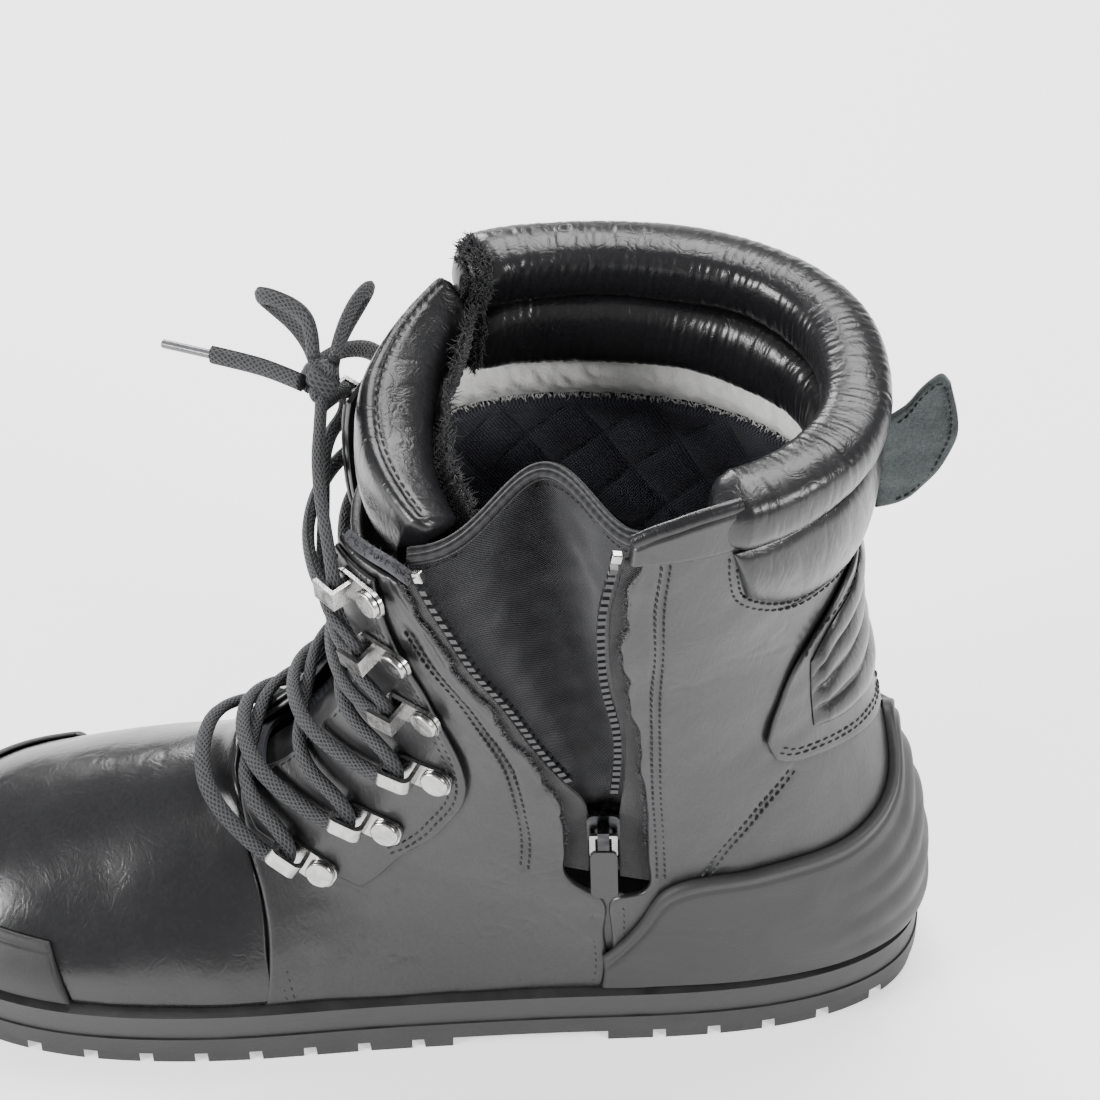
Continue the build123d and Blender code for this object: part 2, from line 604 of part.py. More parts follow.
def lug():
    """A closed lug: a riveted foot and an arch that the lace runs through."""
    foot = Pos(-1.5, 0, 0.6) * fillet(Box(19, 9, 1.2).edges().filter_by(Axis.Z), 3.5)
    arch = Box(ARCH_WIDTH + 2.6, 5.0, ARCH_INNER + 1.4)
    arch = fillet(arch.edges().filter_by(Axis.Y).group_by(Axis.Z)[-1], 2.6)
    way = fillet(Box(ARCH_WIDTH, 9.0, 2 * ARCH_INNER).edges().filter_by(Axis.Y).group_by(Axis.Z)[-1], 2.2)
    arch = arch - Pos(0, 0, -(ARCH_INNER + 1.4) / 2) * way
    return foot + Pos(ARCH_X, 0, 1.1 + (ARCH_INNER + 1.4) / 2) * arch


def hook():
    """An open speed hook: a riveted foot and a lip that curls back over the lace."""
    foot = Pos(-1.5, 0, 0.6) * fillet(Box(19, 9, 1.2).edges().filter_by(Axis.Z), 3.5)
    wall = Pos(ARCH_X - 3.9, 0, 1.1 + (ARCH_INNER + 1.3) / 2) * Box(1.3, 6.5, ARCH_INNER + 1.3)
    lip = Pos(ARCH_X - 0.2, 0, 1.1 + ARCH_INNER + 0.7) * Box(8.0, 6.5, 1.3)
    return foot + wall + lip


def rivet():
    """The round head of the rivet in a lug's foot."""
    head = Cylinder(4.4, 1.6)
    return Pos(-6.2, 0, 2.2) * fillet(head.edges().group_by(Axis.Z)[-1], 0.7)


def make_hardware():
    """The lugs, hooks and rivets of both sides."""
    for side, turn in (("inner", lambda a: a), ("outer", lambda a: 360 - a)):
        seats = [hardware_plane(section, turn(angle)) for section, angle in LUG_PLACES]
        parts["lace_lugs_" + side] = Compound(children=[seat * lug() for seat in seats])
        hook_seats = [hardware_plane(section, turn(angle)) for section, angle in HOOK_PLACES]
        parts["lace_hooks_" + side] = Compound(children=[seat * hook() for seat in hook_seats])
        rivets = [seat * rivet() for seat in seats + hook_seats]
        parts["rivets_" + side] = Compound(children=rivets)


def cord(points, radius, name):
    """A tube along straight runs joined by tangent arcs, each as large as its runs allow."""
    radii = []
    for before, here, after in zip(points, points[1:], points[2:]):
        turn = math.radians((here - before).get_angle(after - here))
        shorter = min((here - before).length, (after - here).length)
        radii.append(0.45 * shorter / math.tan(turn / 2))
    path = FilletPolyline(*points, radius=radii)
    section = Plane(points[0], z_dir=path % 0) * Circle(radius)
    tube = sweep(section, path=path)
    print(name, "length", round(path.length, 1), "tightest", round(min(radii), 1),
          "volume ratio", round(tube.volume / (math.pi * radius ** 2 * path.length), 3))
    return tube


def lace_way(section, angle):
    """Two points where the lace passes a lug or a hook, the lower one first."""
    seat = hardware_plane(section, angle)
    lift = 1.2 + 0.8 + LACE_RADIUS
    ends = [seat.from_local_coords(Vector(ARCH_X, reach, lift)) for reach in (-5.3, 5.3)]
    return sorted(ends, key=lambda point: point.Z)


SHOULDER_ANGLE = 24.0        # where a strand leaves the eyestay
SHOULDER_DEPTH = 7.4
BAR_SHOULDER_DEPTH = 8.6
CROSSING_DEPTHS = (0.9, 6.4)     # the under and the over strand
KNOT = Vector(-18.5, 3.0, 231.0)


def make_laced_cord():
    """The laced part of the lace: from the knot down one half, through a bar, and up the other."""
    rows = LUG_PLACES + HOOK_PLACES
    halves = []
    for half in (0, 1):
        route = []
        for row, (section, angle) in enumerate(rows):
            side = 1 if (row + half) % 2 == 0 else -1
            lower, upper = lace_way(section, angle if side > 0 else 360 - angle)
            if row:
                before = rows[row - 1][0]
                route.append(place(section + 0.3 * (before - section), side * SHOULDER_ANGLE, SHOULDER_DEPTH))
            route += [lower, upper]
            if row < len(rows) - 1:
                after = rows[row + 1][0]
                route.append(place(section + 0.3 * (after - section), side * SHOULDER_ANGLE, SHOULDER_DEPTH))
                depth = CROSSING_DEPTHS[(row + half) % 2]
                route.append(place((section + after) / 2, 0, depth))
        halves.append(route)
    bar = [place(10.15, -SHOULDER_ANGLE, BAR_SHOULDER_DEPTH), place(10.2, 0, CROSSING_DEPTHS[1]),
           place(10.15, SHOULDER_ANGLE, BAR_SHOULDER_DEPTH)]
    inner_end = [KNOT + Vector(-2, -16, -22), KNOT + Vector(-0.5, -4.5, -8)]
    outer_end = [KNOT + Vector(-2, 15, -22), KNOT + Vector(-0.5, 4.5, -8)]
    even_rows = len(rows) % 2 == 0
    first_end, second_end = (inner_end, outer_end) if not even_rows else (outer_end, inner_end)
    down = (halves[0] + first_end)[::-1]
    up = halves[1] + second_end
    parts["lace_laced"] = cord(down + bar[::-1] + up, LACE_RADIUS, "lace_laced")


def make_knot_and_bow():
    """The knot, the two loops of the bow, and the two free ends with their aglets."""
    parts["lace_knot"] = Pos(KNOT) * scale(Sphere(6.5), (0.8, 1.0, 0.95))
    routes = {
        "bow_loop_front": [(-20.8, 7.2, 236.2), (-21, 13, 241), (-24.5, 19, 243.5), (-33, 25, 243),
                           (-37, 29.5, 239.5), (-33.5, 30, 235), (-26, 24, 232), (-21, 15.5, 229.5),
                           (-20, 9.5, 229.5)],
        "bow_loop_side": [(-15.2, 6, 236.8), (-14.4, 14, 240.5), (-13.5, 24, 242.5), (-10, 34, 242.5),
                          (-6, 40.5, 239), (-8.5, 39, 233), (-13.5, 29, 229), (-16.5, 17, 226.5),
                          (-15.8, 9.2, 225.8)],
        "lace_end_front": [(-24.2, 5, 229), (-32, 12, 227), (-41, 18.5, 224.5), (-50.5, 24, 222.3)],
        "lace_end_side": [(-22.5, 8.2, 225.5), (-25, 17, 220), (-22, 29, 214.5), (-16, 41, 209),
                          (-9, 52, 200), (-4.5, 60, 188), (-2.5, 63.5, 174)],
    }
    for name, points in routes.items():
        parts[name] = cord([Vector(*point) for point in points], LACE_RADIUS, name)
    for name, length in (("front", 17.0), ("side", 17.0)):
        points = [Vector(*point) for point in routes["lace_end_" + name][-2:]]
        along_end = (points[1] - points[0]).normalized()
        sleeve = Plane(points[1] + along_end * 0.1, z_dir=along_end) * Pos(0, 0, length / 2)
        parts["aglet_" + name] = sleeve * Cylinder(1.3, length)


# ---------------------------------------------------------------- the pull tab and write-out
TAB_HINGE_X = 137.9
TAB_ROOT = (187.0, 219.0)


def make_heel_tab():
    """The leather pull tab at the back, in line with the back seam."""
    hinge = TAB_HINGE_X
    low, high = TAB_ROOT
    edge = Spline((hinge + 0.4, high), (hinge + 6, high + 9), (hinge + 12, high + 14),
                  (hinge + 16.5, high - 3), (hinge + 11, low + 9), (hinge + 0.4, low))
    leaf = make_face(edge + Line((hinge + 0.4, low), (hinge + 0.4, high)))
    leaf = Plane.XZ * leaf
    parts["heel_pull_tab"] = extrude(leaf, 1.6, both=True)


def write_parts():
    """One file for each part, with the origin at the middle of the boot's box."""
    os.makedirs("parts", exist_ok=True)
    centred = Pos(-BOX_MIDDLE[0], -BOX_MIDDLE[1], 0)
    for name, solid in parts.items():
        export_step(centred * solid, "parts/" + name + ".step")


if __name__ == "__main__":
    parts["outsole"] = make_outsole()
    make_midsole_and_inside()
    make_heel_cup()
    make_toe_bumper()
    make_panels()
    make_overlays()
    make_collar()
    make_lining()
    make_tongue()
    make_tapes()
    make_zip_fixed()
    make_slider()
    make_gusset()
    make_hardware()
    make_laced_cord()
    make_knot_and_bow()
    make_heel_tab()
    write_parts()
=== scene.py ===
import math

import bpy
import numpy as np
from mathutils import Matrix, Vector
from mathutils.kdtree import KDTree


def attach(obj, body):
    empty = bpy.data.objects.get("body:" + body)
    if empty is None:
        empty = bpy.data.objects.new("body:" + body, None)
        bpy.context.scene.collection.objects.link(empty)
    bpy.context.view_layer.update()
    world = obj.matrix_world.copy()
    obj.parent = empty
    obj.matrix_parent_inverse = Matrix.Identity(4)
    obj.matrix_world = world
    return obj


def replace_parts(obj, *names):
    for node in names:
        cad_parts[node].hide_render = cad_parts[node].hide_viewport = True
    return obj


# The looks of a right leather fire boot. Points are in millimetres in the drawing's frame, and
# row_frame turns them into metres in the row's frame when a mesh is made. A place on the upper is a
# section (0 at the collar, 17 at the toe) and an angle in degrees, from the front over the inner side.
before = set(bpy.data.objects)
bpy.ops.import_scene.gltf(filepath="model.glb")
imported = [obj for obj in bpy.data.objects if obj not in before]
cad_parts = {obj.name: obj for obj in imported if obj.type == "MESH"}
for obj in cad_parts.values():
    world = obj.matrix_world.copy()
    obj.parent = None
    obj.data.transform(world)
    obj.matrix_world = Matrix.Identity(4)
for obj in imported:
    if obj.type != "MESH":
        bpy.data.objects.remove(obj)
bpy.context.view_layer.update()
MM = 0.001
BOX_MIDDLE = np.array([0.48, 2.50, 0.0])
FULL_TURN = 2 * math.pi

# ---------------------------------------------------------------- the upper's surface, as in the part
SECTIONS = np.array([
    (-11, 240, 134, 240, 61, 62, 2.2, -0.04),
    (-15, 222, 133, 222, 60, 61, 2.2, -0.05),
    (-20, 198, 131, 200, 58, 59, 2.2, -0.06),
    (-18, 172, 130, 177, 55, 56, 2.2, -0.06),
    (-13, 150, 131, 152, 51, 52, 2.2, -0.05),
    (-16, 130, 138, 118, 47, 48, 2.2, -0.02),
    (-26, 111, 149, 84, 44, 45, 2.3, 0.00),
    (-36, 96, 157, 52, 43, 44, 2.4, 0.04),
    (-45, 88, 157, 22, 42, 44, 2.5, 0.08),
    (-51, 84, 135, -8, 42, 45, 2.5, 0.12),
    (-58, 79, 95, -15, 43, 46, 2.4, 0.18),
    (-70, 75, 30, -15, 46, 50, 2.3, 0.23),
    (-86, 70, -30, -15, 50, 53, 2.2, 0.24),
    (-107, 63, -80, -12, 50, 53, 2.15, 0.22),
    (-128, 56, -114, -8, 45, 48, 2.1, 0.14),
    (-145, 46, -137, -2, 35, 37, 2.1, 0.10),
    (-155, 36, -150, 5, 22, 23, 2.1, 0.05),
    (-159.5, 25, -158, 17, 3, 3, 2.0, 0.00),
])
LAST = len(SECTIONS) - 1
FEATHER_Z = 22.5

LEATHER = (-1.8, 0.0)
OVERLAY = (0.4, 1.8)
PADDING = (-4.2, -2.4)
LINING = (-6.4, -4.6)
ZIP_DEPTH = -2.6
LUG_LIFT = OVERLAY[1] + 0.5

ZIP_FRONT = [(1.75, 50), (2.5, 58), (3.4, 64), (4.6, 73), (5.3, 81), (5.6, 85)]
ZIP_REAR = [(0.95, 93), (1.8, 93), (2.7, 93), (3.6, 93), (4.4, 93.5), (5.6, 91.5)]
ZIP_FOOT = [(5.6, 88.3), (6.0, 88.7), (6.35, 89), (6.7, 89.4), (7.02, 89.8)]
THROAT = [(1.85, 25), (3.0, 21), (5.0, 19), (7.0, 17), (8.5, 15)]
VAMP_SEAM = [(9.3, 22), (10.2, 39), (10.75, 56), (11.3, 77), (11.62, 97.5)]
LUG_PLACES = [(9.3, 47), (6.95, 47), (5.5, 50)]
HOOK_PLACES = [(4.3, 44), (3.1, 41), (2.2, 37)]


def rows_at(table, position):
    """Catmull-Rom values at fractional positions in a table of rows."""
    table = np.asarray(table, float)
    last = len(table) - 1
    position = np.clip(np.asarray(position, float), 0, last)
    start = np.minimum(position.astype(int), last - 1)
    t = (position - start)[..., None]
    a, b, c, d = (table[np.clip(start + step, 0, last)] for step in (-1, 0, 1, 2))
    square = (2 * a - 5 * b + 4 * c - d) * t * t
    cube = (3 * b - a - 3 * c + d) * t ** 3
    return 0.5 * (2 * b + (c - a) * t + square + cube)


def unit(vectors):
    """Vectors scaled to length 1."""
    return vectors / np.maximum(np.linalg.norm(vectors, axis=-1, keepdims=True), 1e-9)


def surface(section, angle):
    """Points on the outer surface of the upper."""
    section, angle = np.broadcast_arrays(np.asarray(section, float), np.asarray(angle, float))
    rows = np.moveaxis(rows_at(SECTIONS, section), -1, 0)
    front_x, front_z, back_x, back_z, inner, outer, square, narrow = rows
    cosine = np.cos(np.radians(angle))
    sine = np.sin(np.radians(angle))
    reach = (np.abs(cosine) ** square + np.abs(sine) ** square) ** (-1 / square)
    forward = reach * cosine
    half_width = np.where(sine >= 0, inner, outer)
    x = (front_x + back_x) / 2 + (front_x - back_x) / 2 * forward
    z = (front_z + back_z) / 2 + (front_z - back_z) / 2 * forward
    return np.stack([x, -half_width * sine * reach * (1 - narrow * cosine), z], -1)


def outward(section, angle):
    """The outward normals of the upper's surface."""
    section = np.asarray(section, float)
    low = np.maximum(0.0, section - 0.02)
    high = np.minimum(float(LAST), section + 0.02)
    downward = surface(high, angle) - surface(low, angle)
    around = surface(section, np.asarray(angle) + 1) - surface(section, np.asarray(angle) - 1)
    return unit(np.cross(downward, around))


def place(section, angle, depth=0.0):
    """Points at a depth from the surface, positive outwards."""
    depth = np.asarray(depth, float)
    return surface(section, angle) + outward(section, angle) * depth[..., None]


def side_place(x, z, outer_side=False):
    """The (section, angle) of the surface point seen at (x, z) from the side."""
    sections = np.linspace(0, LAST, 1701)
    front_x, front_z, back_x, back_z = rows_at(SECTIONS, sections).T[:4]
    side = (back_x - front_x) * (z - front_z) - (back_z - front_z) * (x - front_x)
    section = sections[np.argmax(side >= 0)]
    angles = np.linspace(0, 180, 1801)
    points = surface(section, angles)
    angle = angles[np.argmin((points[:, 0] - x) ** 2 + (points[:, 2] - z) ** 2)]
    return (section, 360 - angle) if outer_side else (section, angle)


def feather(x_places, outer_side=False):
    """The lower edge of the upper between two places along the boot, as a rail."""
    return [side_place(x, FEATHER_Z, outer_side) for x in x_places]


def mirrored(rail):
    """The same rail on the outer side."""
    return [(section, 360 - angle) for section, angle in rail]


def both_sides(rail):
    """A rail that starts on the inner side, ends at the back, and its mirror image."""
    return rail + mirrored(rail[:-1])[::-1]


def shifted(rail, down=0.0, turn=0.0):
    """The same rail moved by a part of a section and by some degrees."""
    return [(section + down, angle + turn) for section, angle in rail]


def along(rail, part_way):
    """The (section, angle) at parts of the way along a rail, from 0 to 1."""
    return rows_at(rail, np.asarray(part_way) * (len(rail) - 1))


def row_frame(points):
    """Points of the drawing, in millimetres, as points of the row's frame, in metres."""
    return (np.asarray(points, float) - BOX_MIDDLE) * MM


def nearest_to(spots):
    """A finder of the nearest spot: it gives its place, its number and its distance."""
    tree = KDTree(len(spots))
    for i, spot in enumerate(spots):
        tree.insert(spot, i)
    tree.balance()
    return tree


# ---------------------------------------------------------------- camera, floor and light
TARGET = Vector((0.0435, -0.0025, 0.169))
DISTANCE = 1.0
ELEVATION = math.radians(45)
FOCAL_PIXELS = 3500
FRAME_PIXELS = 1100
SENSOR = 36.0
FLOOR_HALF = 3.0
FLOOR_GLOW = 0.75
SURROUND_STRENGTH = 0.42
LIGHTS = {
    "light_top": ((0.3, 0.9, 1.7), 1.2, 52),
    "light_back": ((-0.4, 1.2, 0.7), 0.5, 14),
    "light_left": ((-1.1, -0.5, 0.6), 0.5, 26),
    "light_right": ((1.0, -0.6, 0.8), 0.35, 14),
}


def make_camera():
    """The camera at the photograph's viewing angle."""
    data = bpy.data.cameras.new("camera")
    data.sensor_width = SENSOR
    data.lens = SENSOR * FOCAL_PIXELS / FRAME_PIXELS
    camera = bpy.data.objects.new("camera", data)
    bpy.context.scene.collection.objects.link(camera)
    away = Vector((0, -math.cos(ELEVATION), math.sin(ELEVATION)))
    camera.location = TARGET + away * DISTANCE
    camera.rotation_euler = (math.pi / 2 - ELEVATION, 0, 0)
    bpy.context.scene.camera = camera


def area_light(name, location, size, power):
    """A soft square light that faces the boot."""
    data = bpy.data.lights.new(name, "AREA")
    data.energy = power
    data.size = size
    light = bpy.data.objects.new(name, data)
    light.location = location
    light.rotation_euler = (TARGET - Vector(location)).to_track_quat("-Z", "Y").to_euler()
    bpy.context.scene.collection.objects.link(light)


def make_studio():
    """A pale floor, soft lights and a pale surround."""
    mesh = bpy.data.meshes.new("floor")
    corners = [(x * FLOOR_HALF, y * FLOOR_HALF, 0) for x, y in ((-1, -1), (1, -1), (1, 1), (-1, 1))]
    mesh.from_pydata(corners, [], [(0, 1, 2, 3)])
    floor = bpy.data.objects.new("floor", mesh)
    bpy.context.scene.collection.objects.link(floor)
    paint, tree, shader = new_material("floor_white", 0.9)
    mottle = noise(tree, 3.0, 2.0)
    link_color(tree, shader, mottle, (0.93, 0.93, 0.93), (0.95, 0.95, 0.95))
    shader.inputs["Emission Color"].default_value = (1, 1, 1, 1)
    shader.inputs["Emission Strength"].default_value = FLOOR_GLOW
    mesh.materials.append(paint)
    world = bpy.data.worlds.new("surround")
    bpy.context.scene.world = world
    world.use_nodes = True
    background = world.node_tree.nodes["Background"]
    background.inputs["Color"].default_value = (1, 1, 1, 1)
    background.inputs["Strength"].default_value = SURROUND_STRENGTH
    for name, (location, size, power) in LIGHTS.items():
        area_light(name, location, size, power)


# ---------------------------------------------------------------- materials
# Noise scales are in cells for each metre, and bump depths are in metres.
NOISE_LOW = 0.3
NOISE_HIGH = 0.7


def new_material(name, roughness, metallic=0.0, specular=0.5):
    """A material and its shader."""
    paint = bpy.data.materials.new(name)
    paint.use_nodes = True
    tree = paint.node_tree
    shader = tree.nodes["Principled BSDF"]
    shader.inputs["Roughness"].default_value = roughness
    shader.inputs["Metallic"].default_value = metallic
    shader.inputs["Specular IOR Level"].default_value = specular
    return paint, tree, shader


def add_node(tree, kind, inputs=(), **settings):
    """A node with its settings, and its inputs set or linked."""
    made = tree.nodes.new(kind)
    for key, setting in settings.items():
        setattr(made, key, setting)
    for key, given in dict(inputs).items():
        if isinstance(given, bpy.types.NodeSocket):
            tree.links.new(given, made.inputs[key])
        else:
            made.inputs[key].default_value = given
    return made


def object_coords(tree):
    """Coordinates in the row frame, in metres."""
    return add_node(tree, "ShaderNodeTexCoord").outputs["Object"]


def noise(tree, scale, detail=4.0, distortion=0.0, coords=None):
    """Smooth noise, with scale in cells for each metre."""
    inputs = {"Vector": coords or object_coords(tree), "Scale": scale, "Detail": detail,
              "Distortion": distortion}
    return add_node(tree, "ShaderNodeTexNoise", inputs).outputs["Fac"]


def maths(tree, operation, a, b=0.0):
    """One arithmetic step."""
    return add_node(tree, "ShaderNodeMath", {0: a, 1: b}, operation=operation).outputs[0]


def scaled_sum(tree, a, scale_a, b, scale_b):
    """Two numbers, each times its own scale, added."""
    return maths(tree, "ADD", maths(tree, "MULTIPLY", a, scale_a), maths(tree, "MULTIPLY", b, scale_b))


def wave(tree, source, pitch):
    """A sine wave from -1 to 1 that repeats at a pitch."""
    return maths(tree, "SINE", maths(tree, "MULTIPLY", source, FULL_TURN / pitch))


def halved(tree, source):
    """A number from -1 to 1 as one from 0 to 1."""
    return maths(tree, "ADD", maths(tree, "MULTIPLY", source, 0.5), 0.5)


def stretched_coords(tree, coords, scale):
    """Coordinates for a pattern that is drawn out in one direction."""
    return add_node(tree, "ShaderNodeMapping", {"Vector": coords, "Scale": scale}).outputs["Vector"]


def mesh_lengths(tree):
    """How far a point is across and along its piece, in millimetres, as the mesh's UVs hold it."""
    coords = add_node(tree, "ShaderNodeTexCoord").outputs["UV"]
    split = add_node(tree, "ShaderNodeSeparateXYZ", {"Vector": coords})
    return split.outputs["X"], split.outputs["Y"]


def set_sheen(shader, weight, roughness):
    """A soft sheen of fibres."""
    shader.inputs["Sheen Weight"].default_value = weight
    shader.inputs["Sheen Roughness"].default_value = roughness


def spread(tree, source, low, high):
    """The middle of a noise, 0.3 to 0.7, spread between two values."""
    inputs = {"Value": source, "From Min": NOISE_LOW, "From Max": NOISE_HIGH, "To Min": low, "To Max": high}
    return add_node(tree, "ShaderNodeMapRange", inputs).outputs["Result"]


def link_color(tree, shader, source, dark, light):
    """The shader's colour runs from dark to light."""
    ramp = add_node(tree, "ShaderNodeValToRGB", {"Fac": source})
    ends = ((NOISE_LOW, dark), (NOISE_HIGH, light))
    for element, (position, color) in zip(ramp.color_ramp.elements, ends):
        element.position = position
        element.color = (*color, 1)
    tree.links.new(ramp.outputs["Color"], shader.inputs["Base Color"])


def link_bump(tree, shader, layers):
    """Bumps from (height, depth in metres) layers, one on the other."""
    normal = None
    for height, depth in layers:
        inputs = {"Height": height, "Distance": depth, "Strength": 1.0}
        if normal:
            inputs["Normal"] = normal
        normal = add_node(tree, "ShaderNodeBump", inputs).outputs["Normal"]
    tree.links.new(normal, shader.inputs["Normal"])


def leather(name, dark, light, rough_low, rough_high, grain=0.00002, crease=0.00003):
    """Smooth side leather with a fine grain, shallow creases and uneven polish."""
    paint, tree, shader = new_material(name, 0.4)
    coords = object_coords(tree)
    cells = add_node(tree, "ShaderNodeTexVoronoi", {"Vector": coords, "Scale": 900.0}, feature="SMOOTH_F1")
    fine = noise(tree, 1700.0, 3.0, 0.4, coords)
    broad = noise(tree, 60.0, 2.0, 0.6, coords)
    folds = noise(tree, 160.0, 6.0, 1.6, stretched_coords(tree, coords, (1.0, 1.0, 0.35)))
    lines = maths(tree, "ABSOLUTE", maths(tree, "SUBTRACT", folds, 0.5))
    lines = maths(tree, "MINIMUM", maths(tree, "MULTIPLY", lines, 9.0), 1.0)
    link_color(tree, shader, noise(tree, 900.0, 3.0, 0.5, coords), dark, light)
    tree.links.new(spread(tree, broad, rough_low, rough_high), shader.inputs["Roughness"])
    layers = [(broad, 0.00010), (lines, crease), (cells.outputs["Distance"], grain), (fine, grain / 2)]
    link_bump(tree, shader, layers)
    return paint


def woven(name, dark, light, pitch, ridge, diagonal=False, ribbed=False):
    """Cloth with a weave that follows the mesh's own lengths: plain, twill or ribbed knit."""
    paint, tree, shader = new_material(name, 0.85, specular=0.25)
    across, lengthwise = mesh_lengths(tree)
    if diagonal:
        across = maths(tree, "ADD", across, lengthwise)
    warp = wave(tree, across, pitch)
    weft = wave(tree, lengthwise, pitch * (2.0 if ribbed else 1.0))
    if ribbed or diagonal:
        weave = maths(tree, "ADD", warp, maths(tree, "MULTIPLY", weft, 0.35 if ribbed else 0.3))
    else:
        weave = maths(tree, "MULTIPLY", warp, weft)
    weave = halved(tree, weave)
    fuzz = noise(tree, 2600.0, 3.0)
    patchy = noise(tree, 90.0, 4.0, 0.5)
    link_color(tree, shader, scaled_sum(tree, weave, 0.55, patchy, 0.45), dark, light)
    link_bump(tree, shader, [(patchy, 0.0005), (weave, ridge), (fuzz, 0.0001)])
    set_sheen(shader, 0.15, 0.5)
    return paint


def rubber(name, dark, light, low, high, grain=0.00008):
    """Moulded rubber with a fine matt texture and rubbed patches."""
    paint, tree, shader = new_material(name, 0.6)
    coords = object_coords(tree)
    speckle = noise(tree, 1400.0, 4.0, 0.0, coords)
    rubbed = noise(tree, 45.0, 6.0, 1.0, coords)
    link_color(tree, shader, rubbed, dark, light)
    tree.links.new(spread(tree, rubbed, low, high), shader.inputs["Roughness"])
    link_bump(tree, shader, [(rubbed, 0.0004), (speckle, grain)])
    return paint


def metal(name, dark, light, low, high):
    """Plated metal with fine scratches and dull patches."""
    paint, tree, shader = new_material(name, 0.25, metallic=1.0)
    coords = object_coords(tree)
    scratches = noise(tree, 1800.0, 5.0, 0.3, stretched_coords(tree, coords, (1.0, 0.15, 1.0)))
    dull = noise(tree, 260.0, 5.0, 0.6, coords)
    link_color(tree, shader, dull, dark, light)
    tree.links.new(spread(tree, dull, low, high), shader.inputs["Roughness"])
    link_bump(tree, shader, [(dull, 0.00004), (scratches, 0.00002)])
    return paint


def fleece(name, dark, light, tuft=700.0, depth=0.0012, sheen=0.4):
    """Soft brushed pile, felt or suede."""
    paint, tree, shader = new_material(name, 0.95, specular=0.15)
    coords = object_coords(tree)
    tufts = noise(tree, tuft, 8.0, 1.2, coords)
    patchy = noise(tree, 120.0, 5.0, 0.6, coords)
    link_color(tree, shader, scaled_sum(tree, tufts, 0.6, patchy, 0.4), dark, light)
    link_bump(tree, shader, [(patchy, depth), (tufts, depth * 0.5)])
    set_sheen(shader, sheen, 0.4)
    return paint


def braid(name, dark, light, pitch, slope):
    """Braided cord: diamonds of yarn that follow its length."""
    paint, tree, shader = new_material(name, 0.7, specular=0.35)
    around, lengthwise = mesh_lengths(tree)
    lengthwise = maths(tree, "MULTIPLY", lengthwise, slope)
    waves = [wave(tree, maths(tree, step, around, lengthwise), pitch) for step in ("ADD", "SUBTRACT")]
    yarn = halved(tree, maths(tree, "MAXIMUM", *waves))
    fibres = noise(tree, 2500.0, 3.0)
    link_color(tree, shader, maths(tree, "MULTIPLY", yarn, 0.8), dark, light)
    link_bump(tree, shader, [(yarn, 0.0004), (fibres, 0.00008)])
    return paint


# Each finish: how it is made, its darkest and lightest colour, and the maker's own settings.
FINISHES = {
    "black_leather": (leather, (0.012, 0.012, 0.013), (0.019, 0.019, 0.020), 0.30, 0.40),
    "vamp_leather": (leather, (0.009, 0.009, 0.010), (0.014, 0.014, 0.015), 0.2, 0.28, 0.000012, 0.00002),
    "collar_leather": (leather, (0.006, 0.006, 0.007), (0.010, 0.010, 0.011), 0.26, 0.34, 0.00002, 0.00005),
    "raw_leather": (fleece, (0.02, 0.02, 0.022), (0.09, 0.09, 0.10), 900.0, 0.0006, 0.2),
    "suede": (fleece, (0.030, 0.036, 0.036), (0.085, 0.097, 0.097), 1100.0, 0.0006, 0.3),
    "sole_rubber": (rubber, (0.008, 0.008, 0.008), (0.017, 0.017, 0.017), 0.5, 0.68),
    "midsole_rubber": (rubber, (0.013, 0.013, 0.013), (0.028, 0.028, 0.028), 0.45, 0.65),
    "tab_rubber": (rubber, (0.008, 0.008, 0.008), (0.018, 0.018, 0.018), 0.35, 0.5),
    "lining_textile": (woven, (0.010, 0.010, 0.015), (0.075, 0.077, 0.095), 1.1, 0.00025),
    "twill": (woven, (0.006, 0.006, 0.007), (0.045, 0.045, 0.050), 0.9, 0.00020, True),
    "knit": (woven, (0.004, 0.004, 0.005), (0.035, 0.035, 0.038), 1.7, 0.0006, False, True),
    "zip_tape": (woven, (0.004, 0.004, 0.004), (0.026, 0.026, 0.028), 0.7, 0.0002),
    # The collar band's fleece is pale, and its colour is pushed up to near white as painted light: it stands
    # in for blown-out glare at a band that lies in shade.
    "pale_fleece": (fleece, (0.78, 0.77, 0.75), (0.97, 0.96, 0.94), 600.0, 0.0008, 0.5),
    "foam": (fleece, (0.03, 0.03, 0.032), (0.06, 0.06, 0.064), 1500.0, 0.0002, 0.1),
    "board": (fleece, (0.26, 0.20, 0.14), (0.40, 0.32, 0.24), 1300.0, 0.0003, 0.1),
    "composite": (woven, (0.45, 0.45, 0.38), (0.62, 0.62, 0.54), 1.6, 0.0003),
    "nickel": (metal, (0.30, 0.295, 0.29), (0.50, 0.49, 0.48), 0.16, 0.3),
    "dark_nickel": (metal, (0.03, 0.03, 0.032), (0.075, 0.075, 0.08), 0.2, 0.36),
    "steel": (metal, (0.32, 0.33, 0.34), (0.5, 0.51, 0.52), 0.3, 0.5),
    "zip_plastic": (rubber, (0.008, 0.008, 0.009), (0.018, 0.018, 0.020), 0.25, 0.4, 0.00002),
    "lace": (braid, (0.007, 0.007, 0.008), (0.046, 0.047, 0.050), 1.25, 0.55),
    "aglet": (rubber, (0.06, 0.06, 0.065), (0.14, 0.14, 0.15), 0.12, 0.25, 0.00002),
    "thread": (fleece, (0.010, 0.010, 0.011), (0.045, 0.045, 0.048), 2200.0, 0.0002, 0.2),
}


def make_materials():
    """Every finish by its name."""
    return {name: maker(name, *settings) for name, (maker, *settings) in FINISHES.items()}


